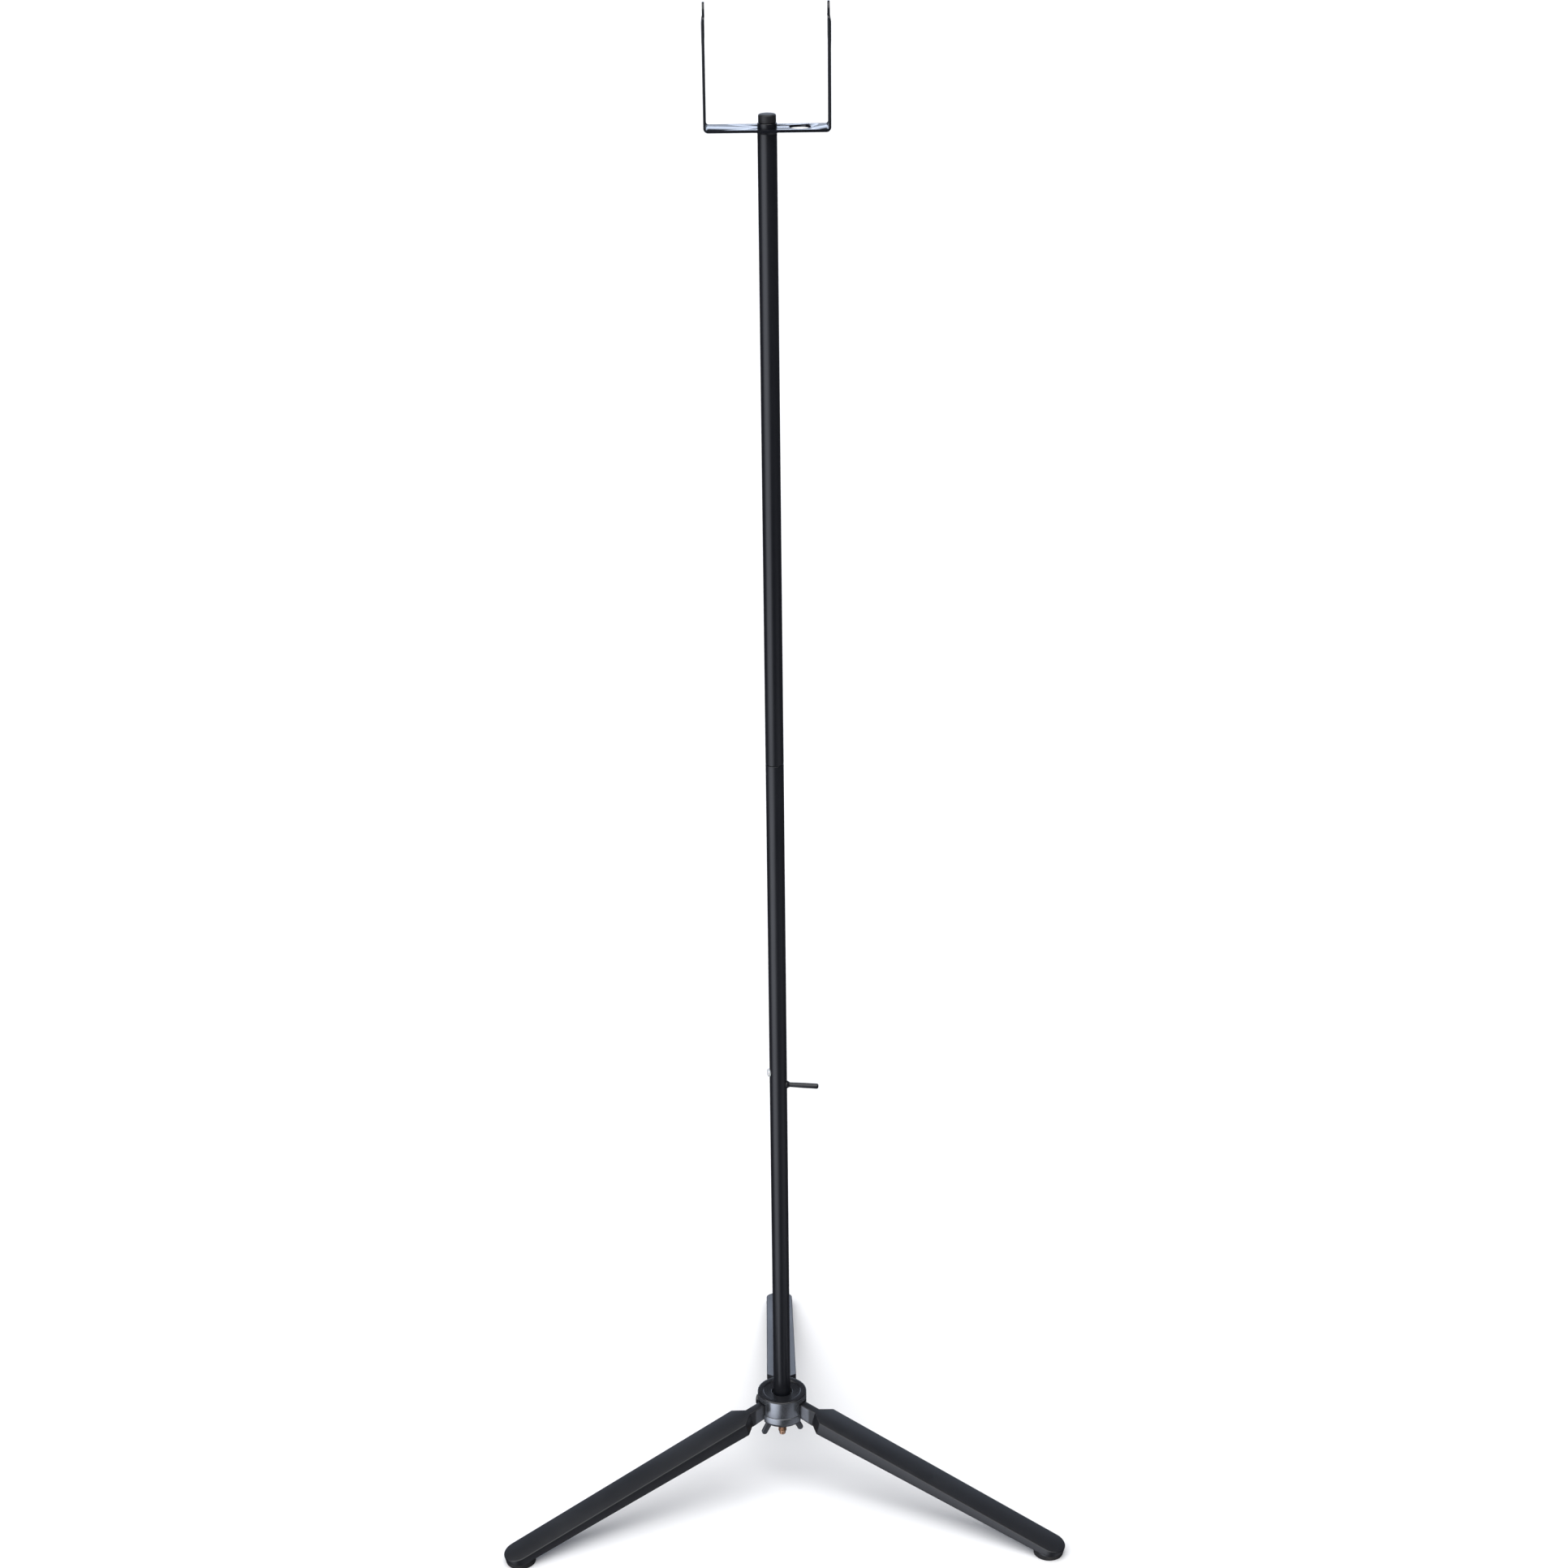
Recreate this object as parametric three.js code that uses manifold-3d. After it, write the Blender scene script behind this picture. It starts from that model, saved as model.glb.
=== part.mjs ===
// A light stand: a two-piece round mast on a hub with three folding legs,
// a U-shaped fork on top and a short peg low on the mast.
// Millimetres, +Z up. The stand is drawn with the mast on the Z axis and is moved at the end,
// so that the origin lies on the floor in the middle of the footprint.

import * as THREE from 'three';
import { mergeVertices } from 'three/addons/utils/BufferGeometryUtils.js';
import Module from 'manifold-3d';

const wasm = await Module();
wasm.setup();

// ---------------------------------------------------------------- driving dimensions

const GAP = 0.3; // gap between neighbouring pieces
const ROUND = 32; // sides of a full circle

const TUBE_RADIUS = 8;
const TUBE_WALL = 1.5;
const TUBE_EDGE = 0.5; // chamfer on the tube ends
const MAST_FOOT_Z = 72;
const MAST_JOINT_Z = 738;
const STUD_RADIUS = 4;
const STUD_HALF_LENGTH = 22;
const INSERT_LENGTH = 28;

const PLATE_TOP_Z = 1294.5;
const STRAP_THICKNESS = 2;
const STRAP_DEPTH = 29;
const FORK_HALF_WIDTH = 51.5; // to the outer faces of the arms
const FORK_BEND_RADIUS = 4;
const ARM_HEAD_Z = 1365; // where the arms thicken
const ARM_SHOULDER_Z = 1381.8;
const ARM_TIP_Z = 1394.3;
const ARM_HEAD_SWELL = 0.15; // extra thickness of the head on each side
const TONGUE_SET_IN = 0.6; // outer face of the tongue from the outer face of the strap
const TONGUE_THICKNESS = 1.8;
const TONGUE_DEPTH = 14;
const PLATE_HOLE_X = 26.5;
const PLATE_HOLE_RADIUS = 9;

const TUBE_TOP_Z = 1298; // the tube stands a little proud of the plate
const CAP_RADIUS = 7.3;
const CAP_TOP_Z = 1305;
const CAP_STEM_RADIUS = 6.2;
const CAP_STEM_DEPTH = 22;

const PEG_Z = 420;
const PEG_HEADING = -8.7; // degrees from +X
const PEG_REACH = 37; // tip from the mast's axis
const PEG_ROOT_RADIUS = 2.2;
const PEG_TIP_RADIUS = 2.45;
const RIVET_Z = 432;
const RIVET_HEAD_RADIUS = 3.8;
const RIVET_HEAD_RISE = 2.2;
const RIVET_SHANK_RADIUS = 1.6;

const HUB_RADIUS = 23.35;
const HUB_TOP_Z = 88.1;
const HUB_BOTTOM_Z = 70;
const HUB_DISH_RADIUS = 17.6;
const HUB_DISH_DEPTH = 0.8;
const HUB_WELL_RADIUS = 9.65; // dark well round the foot of the mast
const HUB_WELL_Z = 83.5;
const SLOT_CEILING_Z = 82;
const SLOT_INNER_RADIUS = 10.8;
const HUB_SLOT_HALF_WIDTH = 6.5;

const SCREW_AZIMUTH = 168; // the screw that presses on the mast's foot, in degrees
const SCREW_Z = 74.6;
const SCREW_HEAD_RADIUS = 4.6;
const SCREW_HEAD_REACH = 25.1; // outer face of the head from the mast's axis
const SCREW_SEAT = 22.4;
const SCREW_SHANK_RADIUS = 1.7;

const RING_TOP_Z = HUB_BOTTOM_Z - GAP;
const RING_BOTTOM_Z = 59;
const RING_CHAMFER = 2.85;

const BOLT_RADIUS = 4.05;
const BOLT_HOLE_RADIUS = BOLT_RADIUS + GAP;
const BOLT_TOP_Z = 98;
const BOLT_END_Z = 38.7;
const BOLT_POINT_RADIUS = 3;
const BOLT_POINT_LENGTH = 2.9;
const WASHER_RADIUS = 10.5;
const WASHER_THICKNESS = 0.8;
const WASHER_TOP_Z = RING_BOTTOM_Z - GAP;
const NUT_TOP_Z = WASHER_TOP_Z - WASHER_THICKNESS - GAP;
const NUT_HEIGHT = 8.6;
const NUT_BOTTOM_Z = NUT_TOP_Z - NUT_HEIGHT;
const NUT_RADIUS = 6.6;
const NUT_FLANGE_RADIUS = 9;
const WING_ELBOW = 12.5; // centre of the wing's upper round from the axis
const WING_ELBOW_DEPTH = 2.9; // and below the nut's top
const WING_REACH = 17.5; // centre of the wing's round end from the axis
const WING_DEPTH = 14; // and below the nut's top
const WING_ROUND = 2.8;
const WING_ELBOW_ROUND = 2.4;
const WING_THICKNESS = 3.2;
const WING_HEADING = 192; // degrees

const LEG_AZIMUTHS = { left: 210, right: 330, rear: 90 };
const LEG_SLOPE = 14.5; // degrees below horizontal
const PIVOT_RADIUS = 17.3; // hinge pin from the mast's axis
const PIVOT_Z = 72.2;
const PIN_RADIUS = 2;
const PIN_HALF_LENGTH = 10.5;
const LEG_TOP = 9.2; // upper face of the leg above the hinge pin, square to the leg
const NECK_HALF_WIDTH = 4.1;
const RING_SLOT_HALF_WIDTH = NECK_HALF_WIDTH + 2 * GAP;
const HEEL_RADIUS = 5.6; // round end of the neck about the hinge pin
const NECK_UNDER = 7; // underside of the neck below the hinge pin, at its outer end
const NECK_END = 19; // along the leg from the hinge pin
const SHOULDER_END = 29.6;
const LEG_ROOT_HALF_WIDTH = 14.2;
const LEG_TIP_HALF_WIDTH = 13.3;
const LEG_ROOT_THICKNESS = 13.6;
const LEG_TIP_THICKNESS = 7.5;
const LEG_WALL = 2.6;
const LEG_SKIN = 3.2;
const RIB_PLACES = [85, 135, 185, 230];
const RIB_THICKNESS = 2.4;
const FOOT_PLACE = 274.6; // along the leg from the hinge pin
const FOOT_RADIUS = 13.5;
const PAD_THICKNESS = 5;
const PAD_PLUG_RADIUS = 5.5;
const PAD_PLUG_HEIGHT = 3.5;

// ---------------------------------------------------------------- materials

function material(color, roughness, metalness) {
  return new THREE.MeshStandardMaterial({ color, roughness, metalness });
}

const coatedSteel = material(0x26282e, 0.38, 0.1);
const castBlack = material(0x2c2e33, 0.5, 0.1);
const blackPlastic = material(0x18191b, 0.5, 0);
const rubber = material(0x141416, 0.8, 0);
const zincSteel = material(0x9a9ca0, 0.35, 0.9);
const copperyBrass = material(0xb98560, 0.35, 0.9);
const paleNylon = material(0xd8d8da, 0.5, 0);

// ---------------------------------------------------------------- geometry helpers

const radians = THREE.MathUtils.degToRad;

// A closed geometry as a manifold solid, its shared vertices merged.
function toSolid(geometry) {
  const plain = geometry.clone();
  plain.deleteAttribute('normal');
  plain.deleteAttribute('uv');
  const merged = mergeVertices(plain, 1e-4);
  const corners = merged.index.array;
  const kept = [];
  for (let i = 0; i < corners.length; i += 3) {
    const [a, b, c] = corners.slice(i, i + 3);
    if (a !== b && b !== c && c !== a) kept.push(a, b, c);
  }
  const mesh = new wasm.Mesh({
    numProp: 3,
    vertProperties: new Float32Array(merged.attributes.position.array),
    triVerts: new Uint32Array(kept),
  });
  return new wasm.Manifold(mesh);
}

function toGeometry(solid) {
  const mesh = solid.getMesh();
  const geometry = new THREE.BufferGeometry();
  geometry.setAttribute('position', new THREE.BufferAttribute(mesh.vertProperties, 3));
  geometry.setIndex(new THREE.BufferAttribute(mesh.triVerts, 1));
  return geometry;
}

function join(first, ...others) {
  return toGeometry(others.reduce((sum, other) => sum.add(toSolid(other)), toSolid(first)));
}

function cut(first, ...others) {
  return toGeometry(others.reduce((rest, other) => rest.subtract(toSolid(other)), toSolid(first)));
}

// A solid of revolution about Z, from [radius, z] points listed with the material on their left.
function revolve(profile, sides = ROUND) {
  const points = profile.map(([radius, z]) => new THREE.Vector2(radius, z));
  return new THREE.LatheGeometry(points, sides).rotateX(Math.PI / 2);
}

// A sleeve whose two ends are chamfered outside.
function sleeve(inner, outer, bottom, top, edge) {
  return revolve([
    [inner, bottom],
    [outer - edge, bottom],
    [outer, bottom + edge],
    [outer, top - edge],
    [outer - edge, top],
    [inner, top],
    [inner, bottom],
  ]);
}

// A plain round bar along Z.
function bar(radius, bottom, top, sides = ROUND) {
  const geometry = new THREE.CylinderGeometry(radius, radius, top - bottom, sides);
  return geometry.rotateX(Math.PI / 2).translate(0, 0, (top + bottom) / 2);
}

// A block between two opposite corners.
function block(x0, x1, y0, y1, z0, z1) {
  const geometry = new THREE.BoxGeometry(x1 - x0, y1 - y0, z1 - z0);
  return geometry.translate((x0 + x1) / 2, (y0 + y1) / 2, (z0 + z1) / 2);
}

// A flat outline in X and Y, extruded from one height to another.
function prism(outline, bottom, top, curveSegments = 12) {
  const options = { depth: top - bottom, bevelEnabled: false, curveSegments };
  return new THREE.ExtrudeGeometry(outline, options).translate(0, 0, bottom);
}

// An outline in X and Z, extruded along Y equally to both sides.
function sidePrism(outline, depth, curveSegments = 12) {
  return prism(outline, -depth / 2, depth / 2, curveSegments).rotateX(Math.PI / 2);
}

function shapeFrom(points) {
  return new THREE.Shape(points.map(([x, y]) => new THREE.Vector2(x, y)));
}

// ---------------------------------------------------------------- mast

function lowerTube() {
  const tube = sleeve(TUBE_RADIUS - TUBE_WALL, TUBE_RADIUS, MAST_FOOT_Z, MAST_JOINT_Z, TUBE_EDGE);
  const pegHole = bar(PEG_ROOT_RADIUS + GAP, 0, TUBE_RADIUS * 2, 16)
    .rotateY(Math.PI / 2)
    .rotateZ(radians(PEG_HEADING))
    .translate(0, 0, PEG_Z);
  const rivetHole = bar(RIVET_SHANK_RADIUS + GAP, 0, TUBE_RADIUS * 2, 16)
    .rotateY(-Math.PI / 2)
    .translate(0, 0, RIVET_Z);
  return cut(tube, pegHole, rivetHole);
}

function upperTube() {
  return sleeve(TUBE_RADIUS - TUBE_WALL, TUBE_RADIUS, MAST_JOINT_Z + GAP, TUBE_TOP_Z, TUBE_EDGE);
}

// A bush that fills the end of a tube and takes a stud or bolt.
function tubeInsert(bottom, top, holeRadius) {
  return sleeve(holeRadius, TUBE_RADIUS - TUBE_WALL - GAP, bottom, top, TUBE_EDGE);
}

function mastBaseInsert() {
  return tubeInsert(MAST_FOOT_Z, MAST_FOOT_Z + INSERT_LENGTH, BOLT_HOLE_RADIUS);
}

function lowerJointInsert() {
  return tubeInsert(MAST_JOINT_Z - INSERT_LENGTH, MAST_JOINT_Z - GAP, STUD_RADIUS + GAP);
}

function upperJointInsert() {
  return tubeInsert(MAST_JOINT_Z + 2 * GAP, MAST_JOINT_Z + INSERT_LENGTH, STUD_RADIUS + GAP);
}

function jointStud() {
  const edge = 0.8;
  const bottom = MAST_JOINT_Z - STUD_HALF_LENGTH;
  const top = MAST_JOINT_Z + STUD_HALF_LENGTH;
  return revolve([
    [0, bottom],
    [STUD_RADIUS - edge, bottom],
    [STUD_RADIUS, bottom + edge],
    [STUD_RADIUS, top - edge],
    [STUD_RADIUS - edge, top],
    [0, top],
  ]);
}

// The peg is drawn along +Z from the mast's axis, then laid over to its heading.
function mastPeg() {
  const flareRadius = 3.6;
  const flareReach = 3;
  const round = 1.4;
  const innerEnd = 3;
  const rod = revolve([
    [0, innerEnd],
    [PEG_ROOT_RADIUS, innerEnd],
    [PEG_ROOT_RADIUS, TUBE_RADIUS - TUBE_WALL],
    [PEG_ROOT_RADIUS, TUBE_RADIUS - GAP],
    [flareRadius, TUBE_RADIUS - GAP],
    [flareRadius, TUBE_RADIUS + GAP],
    [PEG_ROOT_RADIUS + 0.6, TUBE_RADIUS + flareReach * 0.5],
    [PEG_ROOT_RADIUS, TUBE_RADIUS + flareReach],
    [PEG_TIP_RADIUS, PEG_REACH - round * 2],
    [PEG_TIP_RADIUS - round * 0.35, PEG_REACH - round * 0.6],
    [PEG_TIP_RADIUS - round, PEG_REACH],
    [0, PEG_REACH],
  ], 20);
  const shank = bar(PEG_ROOT_RADIUS, innerEnd - 1, TUBE_RADIUS + 2, 20);
  const mastCore = bar(TUBE_RADIUS + GAP, -20, 20).rotateY(Math.PI / 2);
  return join(cut(rod, mastCore), shank)
    .rotateY(Math.PI / 2)
    .rotateZ(radians(PEG_HEADING))
    .translate(0, 0, PEG_Z);
}

// The rivet stands on the left of the mast, its head on the tube's outside.
function sideRivet() {
  const seat = TUBE_RADIUS + GAP;
  const head = revolve([
    [0, seat - 1.2],
    [RIVET_HEAD_RADIUS, seat - 1.2],
    [RIVET_HEAD_RADIUS, seat + RIVET_HEAD_RISE * 0.35],
    [RIVET_HEAD_RADIUS * 0.78, seat + RIVET_HEAD_RISE * 0.75],
    [RIVET_HEAD_RADIUS * 0.4, seat + RIVET_HEAD_RISE * 0.97],
    [0, seat + RIVET_HEAD_RISE],
  ], 20);
  const shank = bar(RIVET_SHANK_RADIUS, TUBE_RADIUS - TUBE_WALL - 2, seat + 0.5, 16);
  const mastCore = bar(seat, -20, 20).rotateY(Math.PI / 2);
  return join(cut(head, mastCore), shank)
    .rotateY(-Math.PI / 2)
    .translate(0, 0, RIVET_Z);
}

// ---------------------------------------------------------------- fork

// Half of the strap's edge line, from the middle of the plate to the tip of the right arm.
function forkHalfOutline() {
  const outer = FORK_HALF_WIDTH;
  const inner = outer - STRAP_THICKNESS;
  const tongueOuter = outer - TONGUE_SET_IN;
  const tongueInner = tongueOuter - TONGUE_THICKNESS;
  const blend = 4;
  const plateBottom = PLATE_TOP_Z - STRAP_THICKNESS;
  const bendInner = FORK_BEND_RADIUS - STRAP_THICKNESS;
  const shape = new THREE.Shape();
  shape.moveTo(0, plateBottom);
  shape.lineTo(outer - FORK_BEND_RADIUS, plateBottom);
  const bendX = outer - FORK_BEND_RADIUS;
  const bendZ = plateBottom + FORK_BEND_RADIUS;
  shape.absarc(bendX, bendZ, FORK_BEND_RADIUS, -Math.PI / 2, 0, false);
  shape.lineTo(outer, ARM_HEAD_Z - blend);
  shape.lineTo(outer + ARM_HEAD_SWELL, ARM_HEAD_Z);
  shape.lineTo(outer + ARM_HEAD_SWELL, ARM_SHOULDER_Z - 1);
  shape.lineTo(tongueOuter, ARM_SHOULDER_Z);
  shape.lineTo(tongueOuter, ARM_TIP_Z - 0.7);
  shape.lineTo(tongueOuter - 0.6, ARM_TIP_Z);
  shape.lineTo(tongueInner + 0.6, ARM_TIP_Z);
  shape.lineTo(tongueInner, ARM_TIP_Z - 0.7);
  shape.lineTo(tongueInner, ARM_SHOULDER_Z - 1);
  shape.lineTo(inner - ARM_HEAD_SWELL, ARM_SHOULDER_Z - 2);
  shape.lineTo(inner - ARM_HEAD_SWELL, ARM_HEAD_Z);
  shape.lineTo(inner, ARM_HEAD_Z - blend);
  shape.lineTo(inner, PLATE_TOP_Z + bendInner);
  shape.absarc(inner - bendInner, PLATE_TOP_Z + bendInner, bendInner, 0, -Math.PI / 2, true);
  shape.lineTo(0, PLATE_TOP_Z);
  return shape;
}

// What is cut away beside the tongues, so that each ends in a round-topped tab.
function tongueTrim() {
  const radius = TONGUE_DEPTH / 2;
  const side = STRAP_DEPTH / 2 + 5;
  const roundCentre = ARM_TIP_Z - radius;
  const overTop = ARM_TIP_Z + 5;
  const reach = FORK_HALF_WIDTH + 10;
  const outline = new THREE.Shape();
  outline.moveTo(-side, ARM_SHOULDER_Z);
  outline.lineTo(-radius, ARM_SHOULDER_Z);
  outline.lineTo(-radius, roundCentre);
  outline.absarc(0, roundCentre, radius, Math.PI, 0, true);
  outline.lineTo(radius, ARM_SHOULDER_Z);
  outline.lineTo(side, ARM_SHOULDER_Z);
  outline.lineTo(side, overTop);
  outline.lineTo(-side, overTop);
  outline.closePath();
  return sidePrism(outline, reach * 2).rotateZ(Math.PI / 2);
}

function forkBracket() {
  const right = sidePrism(forkHalfOutline(), STRAP_DEPTH);
  const left = sidePrism(forkHalfOutline(), STRAP_DEPTH).rotateZ(Math.PI);
  const low = PLATE_TOP_Z - STRAP_THICKNESS - 5;
  const high = PLATE_TOP_Z + 5;
  const tubeHole = bar(TUBE_RADIUS + GAP, low, high);
  const sideHole = bar(PLATE_HOLE_RADIUS, low, high).translate(PLATE_HOLE_X, 0, 0);
  return cut(join(right, left), tongueTrim(), tubeHole, sideHole);
}

// The bead round the tube under the plate.
function forkBead() {
  const top = PLATE_TOP_Z - STRAP_THICKNESS - GAP;
  const height = 2.6;
  const inner = TUBE_RADIUS + GAP;
  return revolve([
    [inner, top - height],
    [inner + 0.25, top - height],
    [inner + 0.65, top - height * 0.45],
    [inner + 1.5, top - 0.5],
    [inner + 1.5, top],
    [inner, top],
    [inner, top - height],
  ]);
}

// The plug that closes the tube's top end.
function mastCap() {
  const seat = TUBE_TOP_Z + GAP;
  const stemEnd = TUBE_TOP_Z - CAP_STEM_DEPTH;
  const round = 1.2;
  return revolve([
    [0, stemEnd],
    [CAP_STEM_RADIUS - 0.6, stemEnd],
    [CAP_STEM_RADIUS, stemEnd + 0.6],
    [CAP_STEM_RADIUS, seat],
    [CAP_RADIUS, seat],
    [CAP_RADIUS, CAP_TOP_Z - round],
    [CAP_RADIUS - round * 0.3, CAP_TOP_Z - round * 0.3],
    [CAP_RADIUS - round, CAP_TOP_Z],
    [0, CAP_TOP_Z + 0.3],
  ]);
}

// ---------------------------------------------------------------- hub

// One cutter for each leg, all three joined into a list.
function aroundLegs(makeCutter) {
  return Object.values(LEG_AZIMUTHS).map((azimuth) => makeCutter().rotateZ(radians(azimuth)));
}

function legSlot(halfWidth, bottom, top) {
  return block(SLOT_INNER_RADIUS, HUB_RADIUS + 5, -halfWidth, halfWidth, bottom, top);
}

// The groove that the hinge pin lies in, open at the bottom.
function pinGroove() {
  const radius = PIN_RADIUS + GAP;
  const halfLength = PIN_HALF_LENGTH + GAP;
  const round = bar(radius, -halfLength, halfLength, 16)
    .rotateX(Math.PI / 2)
    .translate(PIVOT_RADIUS, 0, PIVOT_Z);
  const mouth = block(
    PIVOT_RADIUS - radius, PIVOT_RADIUS + radius,
    -halfLength, halfLength,
    HUB_BOTTOM_Z - 5, PIVOT_Z,
  );
  return join(round, mouth);
}

// A bar that lies along the set screw's axis, between two distances from the mast's axis.
function alongScrew(radius, start, end) {
  return bar(radius, start, end, 24)
    .rotateY(Math.PI / 2)
    .rotateZ(radians(SCREW_AZIMUTH))
    .translate(0, 0, SCREW_Z);
}

function setScrew() {
  const head = alongScrew(SCREW_HEAD_RADIUS, SCREW_SEAT + GAP, SCREW_HEAD_REACH);
  const shank = alongScrew(SCREW_SHANK_RADIUS, TUBE_RADIUS + GAP, SCREW_SEAT + 1);
  const driveSlot = block(-10, 10, -0.6, 0.6, -1, 1)
    .rotateX(Math.PI / 2)
    .rotateY(Math.PI / 2)
    .translate(SCREW_HEAD_REACH, 0, 0)
    .rotateZ(radians(SCREW_AZIMUTH))
    .translate(0, 0, SCREW_Z);
  return cut(join(head, shank), driveSlot);
}

function hubBody() {
  const edge = 0.7;
  const dishZ = HUB_TOP_Z - HUB_DISH_DEPTH;
  const socketRadius = TUBE_RADIUS + GAP;
  const socketZ = MAST_FOOT_Z - GAP;
  const blank = revolve([
    [BOLT_HOLE_RADIUS, HUB_BOTTOM_Z],
    [HUB_RADIUS - 0.4, HUB_BOTTOM_Z],
    [HUB_RADIUS, HUB_BOTTOM_Z + 0.4],
    [HUB_RADIUS, HUB_TOP_Z - edge],
    [HUB_RADIUS - edge, HUB_TOP_Z],
    [HUB_DISH_RADIUS + 0.4, HUB_TOP_Z],
    [HUB_DISH_RADIUS, dishZ],
    [HUB_WELL_RADIUS + 0.5, dishZ],
    [HUB_WELL_RADIUS, dishZ - 0.5],
    [HUB_WELL_RADIUS, HUB_WELL_Z],
    [socketRadius, HUB_WELL_Z - 1],
    [socketRadius, socketZ],
    [BOLT_HOLE_RADIUS, socketZ],
    [BOLT_HOLE_RADIUS, HUB_BOTTOM_Z],
  ], 48);
  const slots = aroundLegs(() => legSlot(HUB_SLOT_HALF_WIDTH, HUB_BOTTOM_Z - 5, SLOT_CEILING_Z));
  const grooves = aroundLegs(pinGroove);
  const screwSeat = alongScrew(SCREW_HEAD_RADIUS + GAP, SCREW_SEAT, HUB_RADIUS + 5);
  const screwHole = alongScrew(SCREW_SHANK_RADIUS + GAP, TUBE_RADIUS - 1, HUB_RADIUS);
  return cut(blank, ...slots, ...grooves, screwSeat, screwHole);
}

// The ring under the hub that shuts the pin grooves. Its narrower notches guide the legs' necks.
function clampRing() {
  const blank = revolve([
    [BOLT_HOLE_RADIUS, RING_BOTTOM_Z],
    [HUB_RADIUS - RING_CHAMFER, RING_BOTTOM_Z],
    [HUB_RADIUS, RING_BOTTOM_Z + RING_CHAMFER * 1.4],
    [HUB_RADIUS, RING_TOP_Z - 0.4],
    [HUB_RADIUS - 0.4, RING_TOP_Z],
    [BOLT_HOLE_RADIUS, RING_TOP_Z],
    [BOLT_HOLE_RADIUS, RING_BOTTOM_Z],
  ], 48);
  const slots = aroundLegs(() => legSlot(RING_SLOT_HALF_WIDTH, RING_BOTTOM_Z - 5, RING_TOP_Z + 5));
  return cut(blank, ...slots);
}

function hubBolt() {
  const pointTop = BOLT_END_Z + BOLT_POINT_LENGTH;
  return revolve([
    [0, BOLT_END_Z],
    [BOLT_POINT_RADIUS - 0.4, BOLT_END_Z],
    [BOLT_POINT_RADIUS, BOLT_END_Z + 0.5],
    [BOLT_POINT_RADIUS, pointTop],
    [BOLT_RADIUS, pointTop + 0.9],
    [BOLT_RADIUS, BOLT_TOP_Z - 1],
    [BOLT_RADIUS - 1, BOLT_TOP_Z],
    [0, BOLT_TOP_Z],
  ]);
}

function boltWasher() {
  const edge = 0.15;
  const bottom = WASHER_TOP_Z - WASHER_THICKNESS;
  return sleeve(BOLT_HOLE_RADIUS, WASHER_RADIUS, bottom, WASHER_TOP_Z, edge);
}

// One wing: a short web out from the nut, and an ear with round ends that hangs from it.
function wing() {
  const elbow = new THREE.Vector2(WING_ELBOW, NUT_TOP_Z - WING_ELBOW_DEPTH);
  const tip = new THREE.Vector2(WING_REACH, NUT_TOP_Z - WING_DEPTH);
  const left = Math.atan2(tip.y - elbow.y, tip.x - elbow.x) + Math.PI / 2;
  const ear = new THREE.Shape();
  ear.absarc(tip.x, tip.y, WING_ROUND, left - Math.PI, left, false);
  ear.absarc(elbow.x, elbow.y, WING_ELBOW_ROUND, left, left + Math.PI, false);
  ear.closePath();
  const web = block(
    NUT_RADIUS - 1, WING_ELBOW,
    -WING_THICKNESS / 2, WING_THICKNESS / 2,
    elbow.y - WING_ELBOW_ROUND, elbow.y + WING_ELBOW_ROUND,
  );
  return join(sidePrism(ear, WING_THICKNESS, 8), web);
}

function wingNut() {
  const body = revolve([
    [0, NUT_BOTTOM_Z],
    [NUT_RADIUS - 0.8, NUT_BOTTOM_Z],
    [NUT_RADIUS, NUT_BOTTOM_Z + 0.8],
    [NUT_RADIUS + 0.4, NUT_TOP_Z - 2.6],
    [NUT_FLANGE_RADIUS, NUT_TOP_Z - 2],
    [NUT_FLANGE_RADIUS, NUT_TOP_Z],
    [0, NUT_TOP_Z],
  ]);
  const hole = bar(BOLT_HOLE_RADIUS, NUT_BOTTOM_Z - 20, NUT_TOP_Z + 5);
  const winged = join(body, wing(), wing().rotateZ(Math.PI));
  return cut(winged, hole).rotateZ(radians(WING_HEADING));
}

// ---------------------------------------------------------------- legs

// A leg is drawn along +X from its hinge pin, then tilted and set at the pin's place,
// as the leg of azimuth zero. A group turns it to its own azimuth.
function toHinge(geometry) {
  return geometry.rotateY(radians(LEG_SLOPE)).translate(PIVOT_RADIUS, 0, PIVOT_Z);
}

// The neck from the side: a round heel about the pin, a flat top and a flat underside.
function neckProfile() {
  const under = -NECK_UNDER;
  const barUnder = LEG_TOP - LEG_ROOT_THICKNESS;
  const shape = new THREE.Shape();
  shape.moveTo(NECK_END, under);
  shape.lineTo(SHOULDER_END, barUnder);
  shape.lineTo(SHOULDER_END + 2, barUnder + 0.5);
  shape.lineTo(SHOULDER_END + 2, LEG_TOP);
  shape.lineTo(-1, LEG_TOP);
  shape.lineTo(-3.6, 8.1);
  shape.lineTo(-5.3, 5.4);
  shape.lineTo(-HEEL_RADIUS, 0);
  shape.absarc(0, 0, HEEL_RADIUS, Math.PI, (3 * Math.PI) / 2, false);
  shape.closePath();
  return shape;
}

// The leg from above, from the shoulders to the round end, drawn in by an inset.
function legPlan(inset, start, end) {
  const slope = (LEG_TIP_HALF_WIDTH - LEG_ROOT_HALF_WIDTH) / (FOOT_PLACE - SHOULDER_END);
  const halfWidthAt = (x) => LEG_ROOT_HALF_WIDTH + slope * (x - SHOULDER_END) - inset;
  const shape = new THREE.Shape();
  shape.moveTo(start, -halfWidthAt(start));
  shape.lineTo(end, -halfWidthAt(end));
  return { shape, halfWidthAt };
}

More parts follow.
